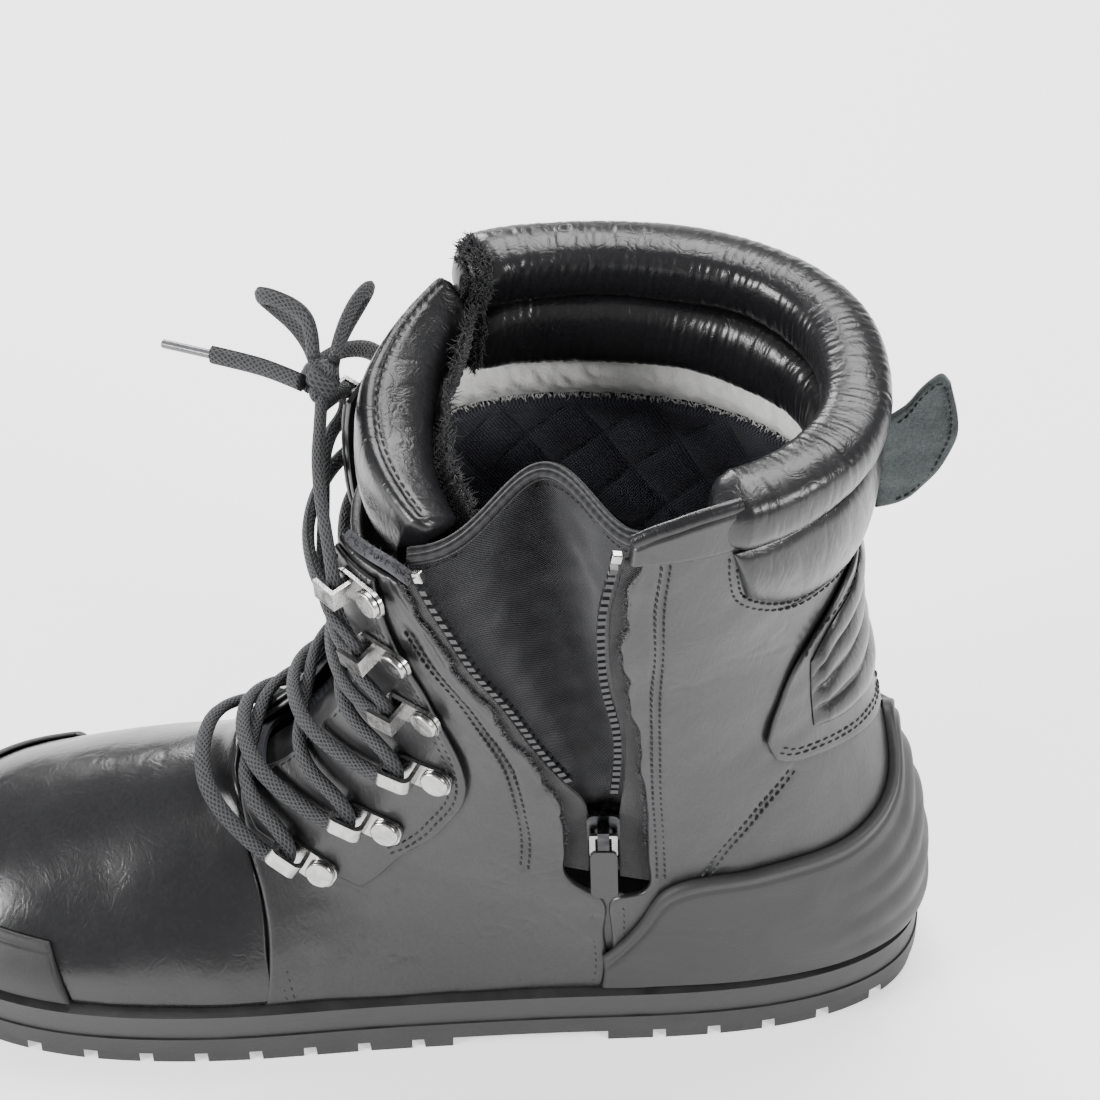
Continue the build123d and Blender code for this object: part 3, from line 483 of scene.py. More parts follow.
# ---------------------------------------------------------------- meshes from grids of points
def make_object(name, points, faces, paint, body="boot", uv=None):
    """A smooth mesh object from points in millimetres, riding on a body."""
    mesh = bpy.data.meshes.new(name)
    mesh.from_pydata(row_frame(points).tolist(), [], faces)
    mesh.polygons.foreach_set("use_smooth", np.ones(len(mesh.polygons), bool))
    if uv is not None:
        layer = mesh.uv_layers.new(name="lengths")
        corners = np.zeros(len(mesh.loops), np.int32)
        mesh.loops.foreach_get("vertex_index", corners)
        layer.data.foreach_set("uv", np.asarray(uv)[corners].astype(np.float32).ravel())
    mesh.materials.append(PAINTS[paint])
    made = bpy.data.objects.new(name, mesh)
    bpy.context.scene.collection.objects.link(made)
    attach(made, body)
    return made


def grid_faces(rows, columns, start=0, wrap=False, flip=False):
    """The quads of a grid of points. A grid that wraps joins its last column to its first."""
    i, j = np.meshgrid(np.arange(rows - 1), np.arange(columns if wrap else columns - 1), indexing="ij")
    here = i * columns + j
    right = i * columns + (j + 1) % columns
    quads = np.stack([here, here + columns, right + columns, right], -1).reshape(-1, 4) + start
    return (quads[:, ::-1] if flip else quads).tolist()


def ring_faces(rows, columns):
    """The faces of a closed tube: a grid that wraps, with a cap at each end."""
    last_ring = [(rows - 1) * columns + i for i in range(columns)]
    return grid_faces(rows, columns, wrap=True) + [list(range(columns)), last_ring[::-1]]


def copied_faces(faces, copies, size, start=0):
    """The faces of one small piece, repeated for pieces of so many points each."""
    return [[start + i * size + k for k in face] for i in range(copies) for face in faces]


def rim_faces(rows, columns, count):
    """The quads that join the borders of two grids, the second one count points after the first."""
    ring = [i * columns for i in range(rows)]
    ring += [(rows - 1) * columns + j for j in range(1, columns)]
    ring += [i * columns + columns - 1 for i in range(rows - 2, -1, -1)]
    ring += list(range(columns - 2, 0, -1))
    faces = []
    for a, b in zip(ring, ring[1:] + ring[:1]):
        faces.append((b, a, a + count, b + count))
    return faces


def lengths(points, axis):
    """How far each point of a grid is along its row or column."""
    steps = np.linalg.norm(np.diff(points, axis=axis), axis=-1)
    start = np.zeros_like(np.take(steps, [0], axis))
    return np.concatenate([start, np.cumsum(steps, axis)], axis)


def part_along(points):
    """How far each point of a grid is along its column, from 0 to 1."""
    return lengths(points, 0) / lengths(points, 0)[-1:]


def part_across(points):
    """How far each point of a grid is along its row, from 0 to 1."""
    return lengths(points, 1) / np.maximum(lengths(points, 1)[:, -1:], 1e-6)


def line_lengths(points):
    """How far each point is along a line."""
    return lengths(points[:, None], 0)[:, 0]


def resampled(at, places, points):
    """The points of a line at other places along it."""
    return np.stack([np.interp(at, places, points[:, k]) for k in range(3)], -1)


def rounded(distance, width):
    """0 at an edge, rising in a quarter circle to 1 over a width."""
    return np.sqrt(1 - (1 - np.clip(distance / width, 0, 1)) ** 2)


def bump_at(distance, width):
    """1 on a line, falling off to 0 over a width."""
    return np.exp(-(distance / width) ** 2)


def squared_ring(count, squareness):
    """The cosines and sines of a ring, and how far a rounded square reaches in each direction."""
    turn = np.linspace(0, FULL_TURN, count, endpoint=False)
    cosine, sine = np.cos(turn), np.sin(turn)
    reach = (np.abs(cosine) ** squareness + np.abs(sine) ** squareness) ** (-1 / squareness)
    return turn, cosine, sine, reach


RIPPLE_WAVES = 16
RIPPLE_SCALE = 4.5


def ripple(points, seed):
    """Smooth noise of about -1 to 1, one swell for each unit of length."""
    random = np.random.RandomState(seed)
    total = 0
    for _ in range(RIPPLE_WAVES):
        direction = unit(random.normal(size=3)) * random.uniform(0.5, 1.3) * 2 * math.pi
        total = total + np.sin(points @ direction + random.uniform(0, FULL_TURN))
    return total / RIPPLE_SCALE


def creases(points, seed, sharp=0.22):
    """1 along thin wandering lines and 0 elsewhere."""
    return bump_at(ripple(points, seed), sharp)


def border_steps(count, share):
    """Positions from 0 to 1 with extra ones near both ends."""
    near = np.array([0, 0.12, 0.3, 0.55]) * share
    return np.concatenate([near, np.linspace(share, 1 - share, count - 8), 1 - near[::-1]])


def rail_points(rail, depth, count=300):
    """Points in millimetres along a rail."""
    spots = along(rail, np.linspace(0, 1, count))
    return place(spots[:, 0], spots[:, 1], depth)


def seam_distance(points, seams):
    """How far each point is from the nearest seam line."""
    finder = nearest_to(np.concatenate(seams))
    found = np.array([finder.find(point)[2] for point in points.reshape(-1, 3)])
    return found.reshape(points.shape[:-1])


def seam_relief(points, seams, dip=0.45, swell=0.35, reach=7.0, dip_width=1.1):
    """The leather is pulled in at a seam and swells away from it."""
    if not seams:
        return 0.0
    distance = seam_distance(points, seams)
    return swell * (1 - bump_at(distance, reach)) - dip * bump_at(distance, dip_width)


HIDE_SWELL = 38.0
HIDE_WAVES = 11.0
HIDE_CREASE = np.array([22.0, 22.0, 9.0])
HIDE_CREASED_PATCH = 30.0


def hide(seed, broad=0.3, fine=0.05, crease=0.25):
    """The relief of worn leather: slow swells and shallow creases in patches."""
    def relief(points):
        creased = np.clip(ripple(points / HIDE_CREASED_PATCH, seed + 3), 0, 1)
        return (broad * ripple(points / HIDE_SWELL, seed) + fine * ripple(points / HIDE_WAVES, seed + 1)
                - crease * creases(points * (1 / HIDE_CREASE), seed + 2, 0.10) * creased)
    return relief


def shell(name, inner, outer, paint, body="boot"):
    """A closed sheet between two grids of points."""
    rows, columns = outer.shape[:2]
    count = rows * columns
    points = np.concatenate([outer.reshape(-1, 3), inner.reshape(-1, 3)])
    faces = grid_faces(rows, columns) + grid_faces(rows, columns, count, flip=True)
    faces += rim_faces(rows, columns, count)
    across, lengthwise = lengths(outer, 1), lengths(outer, 0)
    uv = np.stack([across, lengthwise], -1).reshape(-1, 2)
    made = make_object(name, points, faces, paint, body, np.concatenate([uv, uv]))
    made["cut"] = [float(across[:, -1].mean()), float(lengthwise[-1].mean())]
    return turned_out(made)


def turned_out(made):
    """The object with its faces pointing out of its volume."""
    mesh = made.data
    mesh.calc_loop_triangles()
    points = np.array([vertex.co for vertex in mesh.vertices])
    corners = np.array([triangle.vertices for triangle in mesh.loop_triangles])
    a, b, c = points[corners[:, 0]], points[corners[:, 1]], points[corners[:, 2]]
    if np.einsum("ij,ij->i", a, np.cross(b, c)).sum() < 0:
        mesh.flip_normals()
    return made


def edge_round(points, lip):
    """0 at the border of a grid, rising to 1 over the lip's width."""
    runs = lengths(points, 0)
    crosses = lengths(points, 1)
    from_ends = np.minimum(runs, runs[-1:] - runs)
    from_sides = np.minimum(crosses, crosses[:, -1:] - crosses)
    return rounded(np.minimum(from_ends, from_sides), lip)


ROW_BORDER = 0.03
COLUMN_BORDER = 0.05
EDGE_THICKNESS = 0.35


def rail_grid(rail_a, rail_b, rows, columns, foot=None):
    """Sections and angles of a grid between two rails, with a third one as its last row."""
    u = border_steps(rows, ROW_BORDER)[:, None]
    v = border_steps(columns, COLUMN_BORDER)[None, :]
    start = along(rail_a, u)
    end = along(rail_b, u)
    spots = start + (end - start) * v[..., None]
    if foot:
        first, last = np.array(rail_a[-1]), np.array(rail_b[-1])
        straight = first + (last - first) * v[..., None]
        spots = spots + (along(foot, v) - straight) * (u * u)[..., None]
    return spots[..., 0], spots[..., 1]


def panel(name, rail_a, rail_b, layer, paint, slot, rows=120, columns=70, foot=None, lip=1.3,
          relief=None, seams=(), inside=False, nodes=None):
    """A layer of the upper between two rails, with rounded edges and relief on its seen face."""
    sections, angles = rail_grid(rail_a, rail_b, rows, columns, foot)
    flat = place(sections, angles, 0.0)
    back, seen = layer[::-1] if inside else layer
    rounding = edge_round(flat, lip)
    lift = (relief(flat) if relief else 0.0) + seam_relief(flat, seams)
    wall = EDGE_THICKNESS + (1 - EDGE_THICKNESS) * rounding
    face = back + (seen - back) * wall + (-lift if inside else lift) * rounding
    back_grid = place(sections, angles, np.full_like(face, back))
    face_grid = place(sections, angles, face)
    inner, outer = (face_grid, back_grid) if inside else (back_grid, face_grid)
    made = shell(name + "_skin", inner, outer, paint)
    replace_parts(made, *([name] if nodes is None else nodes))
    return made


# ---------------------------------------------------------------- tubes, stitches and frayed edges
def moving_frames(points, first_side):
    """Tangents and two cross directions carried along a line without twist."""
    tangents = unit(np.gradient(points, axis=0))
    sides = np.zeros_like(points)
    side = np.asarray(first_side, float)
    for i, tangent in enumerate(tangents):
        side = side - tangent * side.dot(tangent)
        side = side / np.linalg.norm(side)
        sides[i] = side
    return tangents, sides, np.cross(tangents, sides)


def tube(name, points, wide, high, paint, body="boot", sides=18, ribs=0, rib=0.0, side=None, taper=0):
    """A closed tube of oval section along a line of points."""
    points = np.asarray(points, float)
    if side is None:
        tangents, across, up = moving_frames(points, (0.3, 0.2, 1.0))
    else:
        tangents = unit(np.gradient(points, axis=0))
        across = unit(np.cross(side, tangents))
        up = np.cross(tangents, across)
    turn = np.linspace(0, FULL_TURN, sides, endpoint=False)
    swell = 1 + rib * np.cos(ribs * turn)
    scale = np.ones(len(points))
    if taper:
        from_end = np.minimum(np.arange(len(points)), np.arange(len(points))[::-1])
        scale = rounded(from_end, taper) * 0.98 + 0.02
    ring = (across[:, None] * (np.cos(turn) * swell * wide / 2)[None, :, None]
            + up[:, None] * (np.sin(turn) * swell * high / 2)[None, :, None])
    grid = points[:, None] + ring * scale[:, None, None]
    girth = turn * (wide + high) / 4
    uv = np.stack(np.broadcast_arrays(girth[None], line_lengths(points)[:, None]), -1)
    faces = ring_faces(len(points), sides)
    return turned_out(make_object(name, grid.reshape(-1, 3), faces, paint, body, uv.reshape(-1, 2)))


def evenly(points, pitch):
    """Points a pitch apart along a line, their directions, and their parts of the way."""
    runs = line_lengths(points)
    wanted = np.arange(pitch / 2, runs[-1], pitch)
    ahead = resampled(wanted + 0.5, runs, points) - resampled(wanted - 0.5, runs, points)
    return resampled(wanted, runs, points), unit(ahead), wanted / runs[-1]


# Each ring of a stitch: its place along the stitch, its size, and how far it is raised.
STITCH_RINGS = ((-1.0, 0.05, -0.5), (-0.8, 0.7, -0.12), (-0.35, 1.0, 0.0), (0.35, 1.0, 0.0),
                (0.8, 0.7, -0.12), (1.0, 0.05, -0.5))
STITCH_SIDES = 6
STITCH_SHARE = 0.40
STITCH_SLANT = 0.12
sewn = {}


def sew(points, normals, pitch=3.0, thick=0.75, shift=0.0, body="boot"):
    """A row of raised stitches along a line on leather."""
    points = np.asarray(points, float)
    normals = np.broadcast_to(np.asarray(normals, float), points.shape)
    sides = unit(np.cross(normals, np.gradient(points, axis=0)))
    spots, ahead, part_way = evenly(points + sides * shift, pitch)
    up = unit(resampled(part_way, np.linspace(0, 1, len(points)), normals))
    across = unit(np.cross(up, ahead))
    ahead = unit(ahead + across * STITCH_SLANT)
    across = np.cross(up, ahead)
    turn = np.linspace(0, FULL_TURN, STITCH_SIDES, endpoint=False)
    vertices, faces = sewn.setdefault(body, ([], []))
    rings = []
    for run, size, sink in STITCH_RINGS:
        centre = spots + ahead * run * pitch * STITCH_SHARE + up * sink
        rings.append(centre[:, None] + across[:, None] * (np.cos(turn) * size * thick / 2)[None, :, None]
                     + up[:, None] * (np.sin(turn) * size * thick / 2)[None, :, None])
    one = grid_faces(len(STITCH_RINGS), STITCH_SIDES, wrap=True, flip=True)
    start = sum(len(group) for group in vertices)
    faces.extend(copied_faces(one, len(spots), len(STITCH_RINGS) * STITCH_SIDES, start))
    vertices.append(np.stack(rings, 1).reshape(-1, 3))


def sew_rail(rail, depth=0.05, rows=(0.0,), pitch=3.0, span=(0.02, 0.98)):
    """Rows of stitches along a rail of the upper."""
    spots = along(rail, np.linspace(span[0], span[1], 260))
    points = place(spots[:, 0], spots[:, 1], depth)
    normals = outward(spots[:, 0], spots[:, 1])
    for shift in rows:
        sew(points, normals, pitch, shift=shift)


def finish_sewing():
    """One object for all the stitches of each body."""
    for body, (vertices, faces) in sewn.items():
        vertices = np.concatenate(vertices)
        made = make_object("stitching_" + body, vertices, faces, "thread", body)
        turned_out(made)


FIBRE_RINGS = 3
FIBRE_TURNS = (0.0, 2.1, 4.2)
FIBRE_SIZES = (1.0, 0.8, 0.15)


def fray(name, points, outwards, paint, length=2.2, density=5.0, thick=0.16, seed=1, body="boot",
         spread_out=0.6):
    """Loose fibres along a raw edge, with so many fibres for each millimetre."""
    random = np.random.RandomState(seed)
    outwards = np.broadcast_to(np.asarray(outwards, float), points.shape)
    spots, _, part_way = evenly(points, 1 / density)
    away = unit(resampled(part_way, np.linspace(0, 1, len(points)), outwards))
    count = len(spots)
    lean = unit(away + random.normal(size=(count, 3)) * spread_out)
    bend = unit(lean + random.normal(size=(count, 3)) * 0.8)
    reach = length * random.uniform(0.35, 1.0, count)[:, None]
    spots = spots + random.normal(size=(count, 3)) * 0.35
    side = unit(np.cross(lean, random.normal(size=(count, 3))))
    other = np.cross(lean, side)
    middle = spots + lean * reach * 0.55
    levels = (spots - lean * 0.5, middle, middle + bend * reach * 0.55)
    rings = []
    for centre, size in zip(levels, FIBRE_SIZES):
        for turn in FIBRE_TURNS:
            rings.append(centre + (side * math.cos(turn) + other * math.sin(turn)) * thick * size)
    faces = copied_faces(ring_faces(FIBRE_RINGS, len(FIBRE_TURNS)), count, len(rings))
    return turned_out(make_object(name, np.stack(rings, 1).reshape(-1, 3), faces, paint, body))


# ---------------------------------------------------------------- laces
LACE_WIDE = 5.2
LACE_HIGH = 3.5
LACE_RADIUS = 2.2
ARCH_REACH = 5.3
ARCH_FLOOR = 2.0
SHOULDER_ANGLE = 24.0
SHOULDER_DEPTH = 7.4
SHOULDER_SHARE = 0.3
CROSSING_DEPTHS = (0.9, 6.4)
BAR = [(10.15, 24, 8.6), (10.2, 0, 6.4), (10.15, -24, 8.6)]
KNOT_WAY = [(-2, 13, -22), (-0.5, 4, -9), (0, 1.5, -1)]
ARCH_X = 5.0
KNOT = np.array((-18.5, 3.0, 231.0))
ROUTES = {
    "bow_loop_front": [(-20.8, 7.2, 236.2), (-21, 13, 241), (-24.5, 19, 243.5), (-33, 25, 243),
                       (-37, 29.5, 239.5), (-33.5, 30, 235), (-26, 24, 232), (-21, 15.5, 229.5),
                       (-20, 9.5, 229.5)],
    "bow_loop_side": [(-15.2, 6, 235.8), (-14.2, 14, 236.5), (-12.5, 24, 236), (-9.5, 34, 235.5),
                      (-6.5, 42, 232), (-9, 41.5, 226.5), (-14, 31, 224), (-17, 18, 223.6),
                      (-15.8, 9.2, 225.0)],
    "lace_end_front": [(-24.2, 5, 229), (-32, 12, 227), (-41, 18.5, 224.5), (-50.5, 24, 222.3)],
    "lace_end_side": [(-22.5, 8.2, 225.5), (-25, 17, 220), (-22, 29, 214.5), (-16, 41, 209),
                      (-9, 52, 200), (-4.5, 60, 188), (-2.5, 63.5, 174)],
}


def spline_line(route):
    """The line of a NURBS spline that has the route's points as its control points."""
    curve = bpy.data.curves.new("line", "CURVE")
    curve.dimensions = "3D"
    curve.resolution_u = 16
    spline = curve.splines.new("NURBS")
    spline.points.add(len(route) - 1)
    for point, spot in zip(spline.points, row_frame(route)):
        point.co = (*spot, 1)
    spline.order_u = 3
    spline.use_endpoint_u = True
    holder = bpy.data.objects.new("line", curve)
    bpy.context.scene.collection.objects.link(holder)
    mesh = bpy.data.meshes.new_from_object(holder)
    points = np.array([vertex.co for vertex in mesh.vertices]) / MM + BOX_MIDDLE
    bpy.data.objects.remove(holder)
    bpy.data.meshes.remove(mesh)
    return points


def seat(section, angle):
    """The seat of a lug or hook: its origin, x towards the throat, y, and z outwards."""
    normal = outward(section, angle)
    towards_front = -1 if angle < 180 else 1
    ahead = place(section, angle + towards_front * 3) - place(section, angle)
    ahead = unit(ahead - normal * ahead.dot(normal))
    return place(section, angle, LUG_LIFT), ahead, np.cross(normal, ahead), normal


def lace_way(section, angle):
    """Two points where the lace passes a lug or a hook, the lower one first."""
    origin, ahead, sideways, normal = seat(section, angle)
    middle = origin + ahead * ARCH_X + normal * (ARCH_FLOOR + LACE_RADIUS)
    ends = [middle + sideways * reach for reach in (-ARCH_REACH, ARCH_REACH)]
    return sorted(ends, key=lambda point: point[2])


def laced_route():
    """The points of the laced part: from the knot down one half, through a bar, and up the other."""
    rows = LUG_PLACES + HOOK_PLACES
    halves = []
    for half in (0, 1):
        route = []
        for row, (section, angle) in enumerate(rows):
            side = 1 if (row + half) % 2 == 0 else -1
            lower, upper = lace_way(section, angle if side > 0 else 360 - angle)
            if row:
                before = rows[row - 1][0]
                shoulder = section + SHOULDER_SHARE * (before - section)
                route.append(place(shoulder, side * SHOULDER_ANGLE, SHOULDER_DEPTH))
            route += [lower, upper]
            if row < len(rows) - 1:
                after = rows[row + 1][0]
                shoulder = section + SHOULDER_SHARE * (after - section)
                route.append(place(shoulder, side * SHOULDER_ANGLE, SHOULDER_DEPTH))
                route.append(place((section + after) / 2, 0, CROSSING_DEPTHS[(row + half) % 2]))
        halves.append(route)
    bar = [place(section, angle, depth) for section, angle, depth in BAR]
    inner_end, outer_end = ([KNOT + (x, side * y, z) for x, y, z in KNOT_WAY] for side in (-1, 1))
    return (halves[0] + outer_end)[::-1] + bar + halves[1] + inner_end


def normals_near(points):
    """The outward normals of the upper nearest to each point, smoothed along the line."""
    sections, angles = np.meshgrid(np.linspace(1.5, 11, 90), np.linspace(-64, 64, 60), indexing="ij")
    normals = outward(sections, angles).reshape(-1, 3)
    finder = nearest_to(surface(sections, angles).reshape(-1, 3))
    found = normals[[finder.find(point)[1] for point in points]]
    reach = 9
    padded = np.concatenate([found[:1].repeat(reach, 0), found, found[-1:].repeat(reach, 0)])
    kernel = np.hanning(2 * reach + 1)
    return unit(np.stack([np.convolve(padded[:, k], kernel, "valid") for k in range(3)], -1))


def lace_tube(name, line, node, side=None):
    """A stretch of lace along a line."""
    made = tube(name, line, LACE_WIDE, LACE_HIGH, "lace", sides=22, ribs=8, rib=0.035, side=side)
    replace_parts(made, node)
    return made


def make_laces():
    """The laced part, the bow, the free ends and the knot."""
    line = spline_line(laced_route())
    lace_tube("laced_part", line, "lace_laced", normals_near(line))
    knot = make_knot()
    for name, route in ROUTES.items():
        line = spline_line(route)
        made = lace_tube(name + "_cord", line, name)


def make_knot():
    """The knot: a tight trefoil turn of lace round the crossing."""
    turn = np.linspace(0, FULL_TURN, 120)
    across = (np.sin(turn) + 2 * np.sin(2 * turn)) * 1.25
    upward = (np.cos(turn) - 2 * np.cos(2 * turn)) * 1.45
    through = -np.sin(3 * turn) * 1.9
    line = KNOT + np.stack([through, across, upward], -1)
    made = tube("knot_turns", line, LACE_WIDE * 0.92, LACE_HIGH, "lace", ribs=8, rib=0.035)
    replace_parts(made, "lace_knot")
    return made


# ---------------------------------------------------------------- the upper
ZIP_EDGE = [(1.85, 46.5), (2.5, 54.5), (3.4, 60.5), (4.4, 67.5), (5.2, 76), (5.8, 80.5), (6.5, 82),
            (7.1, 83.3), (7.55, 90.6), (8.3, 94.5), side_place(60, FEATHER_Z)]
REAR_EDGE = [(0.7, 96.5), (1.6, 96.5), (2.5, 96.5), (3.4, 96.5), (4.3, 97), (5.2, 97), (6.4, 97), (7.1, 97.4),
             (7.55, 91.7), (8.3, 95.5), side_place(60.8, FEATHER_Z)]
SIDE_SEAM = [(0.5, 266), (1.4, 266), (2.4, 266), (3.4, 266), (4.4, 266), (5.4, 266), (6.4, 266), (7.3, 265),
             (8.0, 262), (8.6, 259), side_place(60.8, FEATHER_Z, True)]
FRONT_STITCH = [(2.6, 49), (3.4, 55), (4.3, 61.5), (5.2, 69), (6.2, 74), (7.1, 76)]
REAR_STITCH = [(0.9, 102), (2.6, 104), (4.0, 101.5), (5.4, 99.5), (6.9, 99.5)]
HEEL_STITCH = [(5.15, 131), (5.6, 121), (6.2, 112), (6.7, 107.5)]
ZIP_HEM_FRONT = [(1.9, 44.5), (2.5, 52.6), (3.4, 58.8), (4.4, 66), (5.2, 74.3), (5.8, 78.8), (6.5, 80.4),
                 (7.0, 81.6)]
ZIP_HEM_REAR = [(1.0, 98.6), (1.6, 98.6), (2.5, 98.7), (3.4, 98.8), (4.3, 99), (5.2, 99.2), (6.4, 99.4)]
EYESTAY_FRONT = [(1.95, 26), (3.0, 22), (5.0, 20), (7.0, 18), (8.4, 16.5), (9.15, 24), (9.7, 36)]
EYESTAY_BACK = [(1.95, 41), (3.0, 45), (4.2, 50), (5.6, 61), (6.6, 60), (7.6, 57), (9.2, 58)]
STAY_TOP = [(4.66, 126), (4.3, 129.5), (3.6, 139), (3.0, 157), (2.95, 180)]
STAY_LOW = [(4.9, 127), (5.0, 131), (5.05, 140), (5.1, 148), (5.3, 180)]
PAD_TOP = [(3.75, 141), (3.35, 150), (3.2, 165), (3.15, 180)]
PAD_LOW = [(4.65, 139), (4.75, 150), (4.82, 165), (4.85, 180)]
COLLAR_LOW = [(1.95, 122), (2.4, 134), (2.55, 150), (2.75, 180), (2.45, 215), (2.2, 250), (2.0, 285),
              (1.7, 312)]
BACK_SEAM = [(0.4 + 0.758 * i, 179.95) for i in range(11)]
SOLE_FRONT = feather([-43, -26, -9, 9, 26, 43, 60])
SOLE_REAR = feather([60.8, 80, 98, 115, 130, 142, 150, 155]) + BACK_SEAM[-1:]
DOUBLE_ROW = (-1.1, 1.1)
FINE_PITCH = 2.7


def wavy(rail, waves, swing):
    """The same rail with its edge waving to and fro, less and less towards its lower end."""
    part_way = np.linspace(0, 1, WAVY_POINTS)
    spots = along(rail, part_way)
    fade = np.clip(1 - part_way / WAVY_SHARE, 0, 1) ** 0.4
    run = FULL_TURN * waves * part_way
    spots[:, 1] += swing * fade * (np.sin(run) + 0.5 * np.sin(run * 2.3 + 1))
    return [tuple(spot) for spot in spots]


def on_surface(*rails):
    """Rails as lines on the surface, for seams."""
    return [rail_points(rail, 0.0) for rail in rails]


WAVY_POINTS = 60
WAVY_SHARE = 0.55
FRONT_CUT = wavy(ZIP_EDGE, 9, 0.9)
REAR_CUT = wavy(REAR_EDGE, 8, 0.8)


def leather_panel(name, rail_a, rail_b, rows, columns, foot, seed, seams, layer=LEATHER):
    """A panel of the upper that ends at the sole."""
    panel(name, rail_a, rail_b, layer, "black_leather", "black_leather", rows, columns, foot,
          relief=hide(seed), seams=on_surface(*seams))


def make_panels():
    """The leather panels of the upper. On the outer side the rear one laps over the front one."""
    front_edge = THROAT + VAMP_SEAM[:-1] + SOLE_FRONT[:1]
    leather_panel("front_panel_inner", front_edge, FRONT_CUT, 170, 110, SOLE_FRONT, 3,
                  [FRONT_STITCH, ZIP_HEM_FRONT, EYESTAY_BACK])
    leather_panel("rear_panel_inner", REAR_CUT, BACK_SEAM, 170, 130, SOLE_REAR, 7,
                  [REAR_STITCH, HEEL_STITCH, ZIP_HEM_REAR, STAY_TOP, STAY_LOW, COLLAR_LOW[:4]])
    leather_panel("rear_panel_outer", SIDE_SEAM, mirrored(BACK_SEAM), 150, 110, mirrored(SOLE_REAR), 11,
                  [mirrored(HEEL_STITCH), mirrored(STAY_TOP), mirrored(STAY_LOW), COLLAR_LOW[3:]])
    lapped = shifted(SIDE_SEAM[:-1], turn=-5) + [side_place(66, FEATHER_Z, True)]
    leather_panel("front_panel_outer", mirrored(front_edge), lapped, 150, 110, mirrored(SOLE_FRONT), 13,
                  [mirrored(EYESTAY_BACK)], (LEATHER[0], -0.45))
    stay_front = [(7.35, 87.5), (8.3, 92.0), side_place(57, FEATHER_Z)]
    stay_rear = [(7.35, 95.0), (8.3, 98.0), side_place(64, FEATHER_Z)]
    panel("zip_foot_stay", stay_front, stay_rear, (LEATHER[0] - 0.1, -0.7), "black_leather", "black_leather",
          40, 20, nodes=())
    seam = shifted(VAMP_SEAM, down=0.01)
    crown = [(9.06, 11), (8.9, 0), (9.06, -11)]
    back_edge = seam[::-1] + crown + [(section, -angle) for section, angle in seam]
    sides = [(16.8, 77.6), (15.6, 86), (14.6, 90.6), (13.6, 93.5), (12.6, 95.6)]
    outer_side, inner_side = foot_rails(sides + [back_edge[0]])
    panel("vamp", inner_side, outer_side, LEATHER, "vamp_leather", "black_leather", 150, 150, back_edge,
          relief=hide(17, 0.22, 0.025, 0.1))


def make_overlays():
    """The stitched pieces on top of the panels, and their seams."""
    top = OVERLAY[1]
    for side, turn, inward in (("inner", list, -1), ("outer", mirrored, 1)):
        back, front = turn(EYESTAY_BACK), turn(EYESTAY_FRONT)
        panel("eyestay_" + side, front, back, OVERLAY, "black_leather", "black_leather", 110, 40,
              relief=hide(19, 0.15, 0.08, 0.2))
        sew_rail(shifted(back[:-1], turn=inward * 2.6), top + 0.05, DOUBLE_ROW, span=(0.0, 1.0))
        sew_rail(shifted(front[:-1], turn=-inward * 2.2), top + 0.05)
        sew_rail(shifted(turn(VAMP_SEAM), down=-0.1), rows=DOUBLE_ROW)
    panel("back_stay", both_sides(STAY_TOP), both_sides(STAY_LOW), OVERLAY, "black_leather", "black_leather",
          130, 50, relief=hide(23, 0.1, 0.08, 0.1))
    for turn in (list, mirrored):
        sew_rail(turn(shifted(STAY_LOW, -0.13, 1.5)), top, (-0.9, 1.1))
        pad_top = turn(PAD_TOP)
        sew_rail(shifted(pad_top[:2], -0.1, -2) + [pad_top[-1]], top)
    pad = panel("achilles_pad", both_sides(PAD_TOP), both_sides(PAD_LOW), (top + 0.3, 2.3), "collar_leather",
                "collar_leather", 110, 90, relief=ribbed)


PAD_RIBS = 4
PAD_SWELL = 1.9


def ribbed(points):
    """Stuffed ribs between sewn channels, flat at both ends."""
    ends = np.clip(5 * np.sin(np.pi * part_along(points)), 0, 1)
    ribs = np.abs(np.sin(np.pi * PAD_RIBS * part_across(points))) ** 0.8
    return PAD_SWELL * ends * ribs + 0.12 * ripple(points / 9, 29)


def make_seams():
    """The stitch rows of the panels."""
    for rail in (REAR_STITCH, FRONT_STITCH, HEEL_STITCH, mirrored(HEEL_STITCH)):
        sew_rail(rail, rows=(-1.15, 1.15), pitch=FINE_PITCH, span=(0.0, 1.0))
    sew_rail(shifted(SIDE_SEAM[:-1], turn=-1.8), rows=(0.0, 2.2))
    for rail, turn in ((ZIP_EDGE[8:], -2.2), (REAR_EDGE[8:], 2.2)):
        sew_rail(shifted(rail, turn=turn))
    collar = [(1.1, 116.5), (1.55, 118)] + shifted(COLLAR_LOW, down=0.12)
    sew_rail(collar, 0.15, (-1.0, 1.2), pitch=2.8, span=(0.0, 1.0))


# ---------------------------------------------------------------- collar, lining and tongue
COLLAR_TOP = 240
SECTION_HEIGHT = 18
ROLL_SEGMENTS = 44
ROLL_ROWS = 420
ROLL_END = 9.0
ROLL_WRINKLE = 3.0
TOP_ROLL = ((-6.2, 230.6), (9.8, 10.4))
INSIDE_ROLL = ((-9.2, 211.4), (6.3, 8.8))


def collar_point(angle, depth, height):
    """A point of the collar at a height, also above the top edge of the leather."""
    section = (COLLAR_TOP - height) / SECTION_HEIGHT
    lift = np.maximum(0.0, height - COLLAR_TOP)
    return place(np.maximum(section, 0), angle, depth) + lift[..., None] * np.array([0, 0, 1.0])


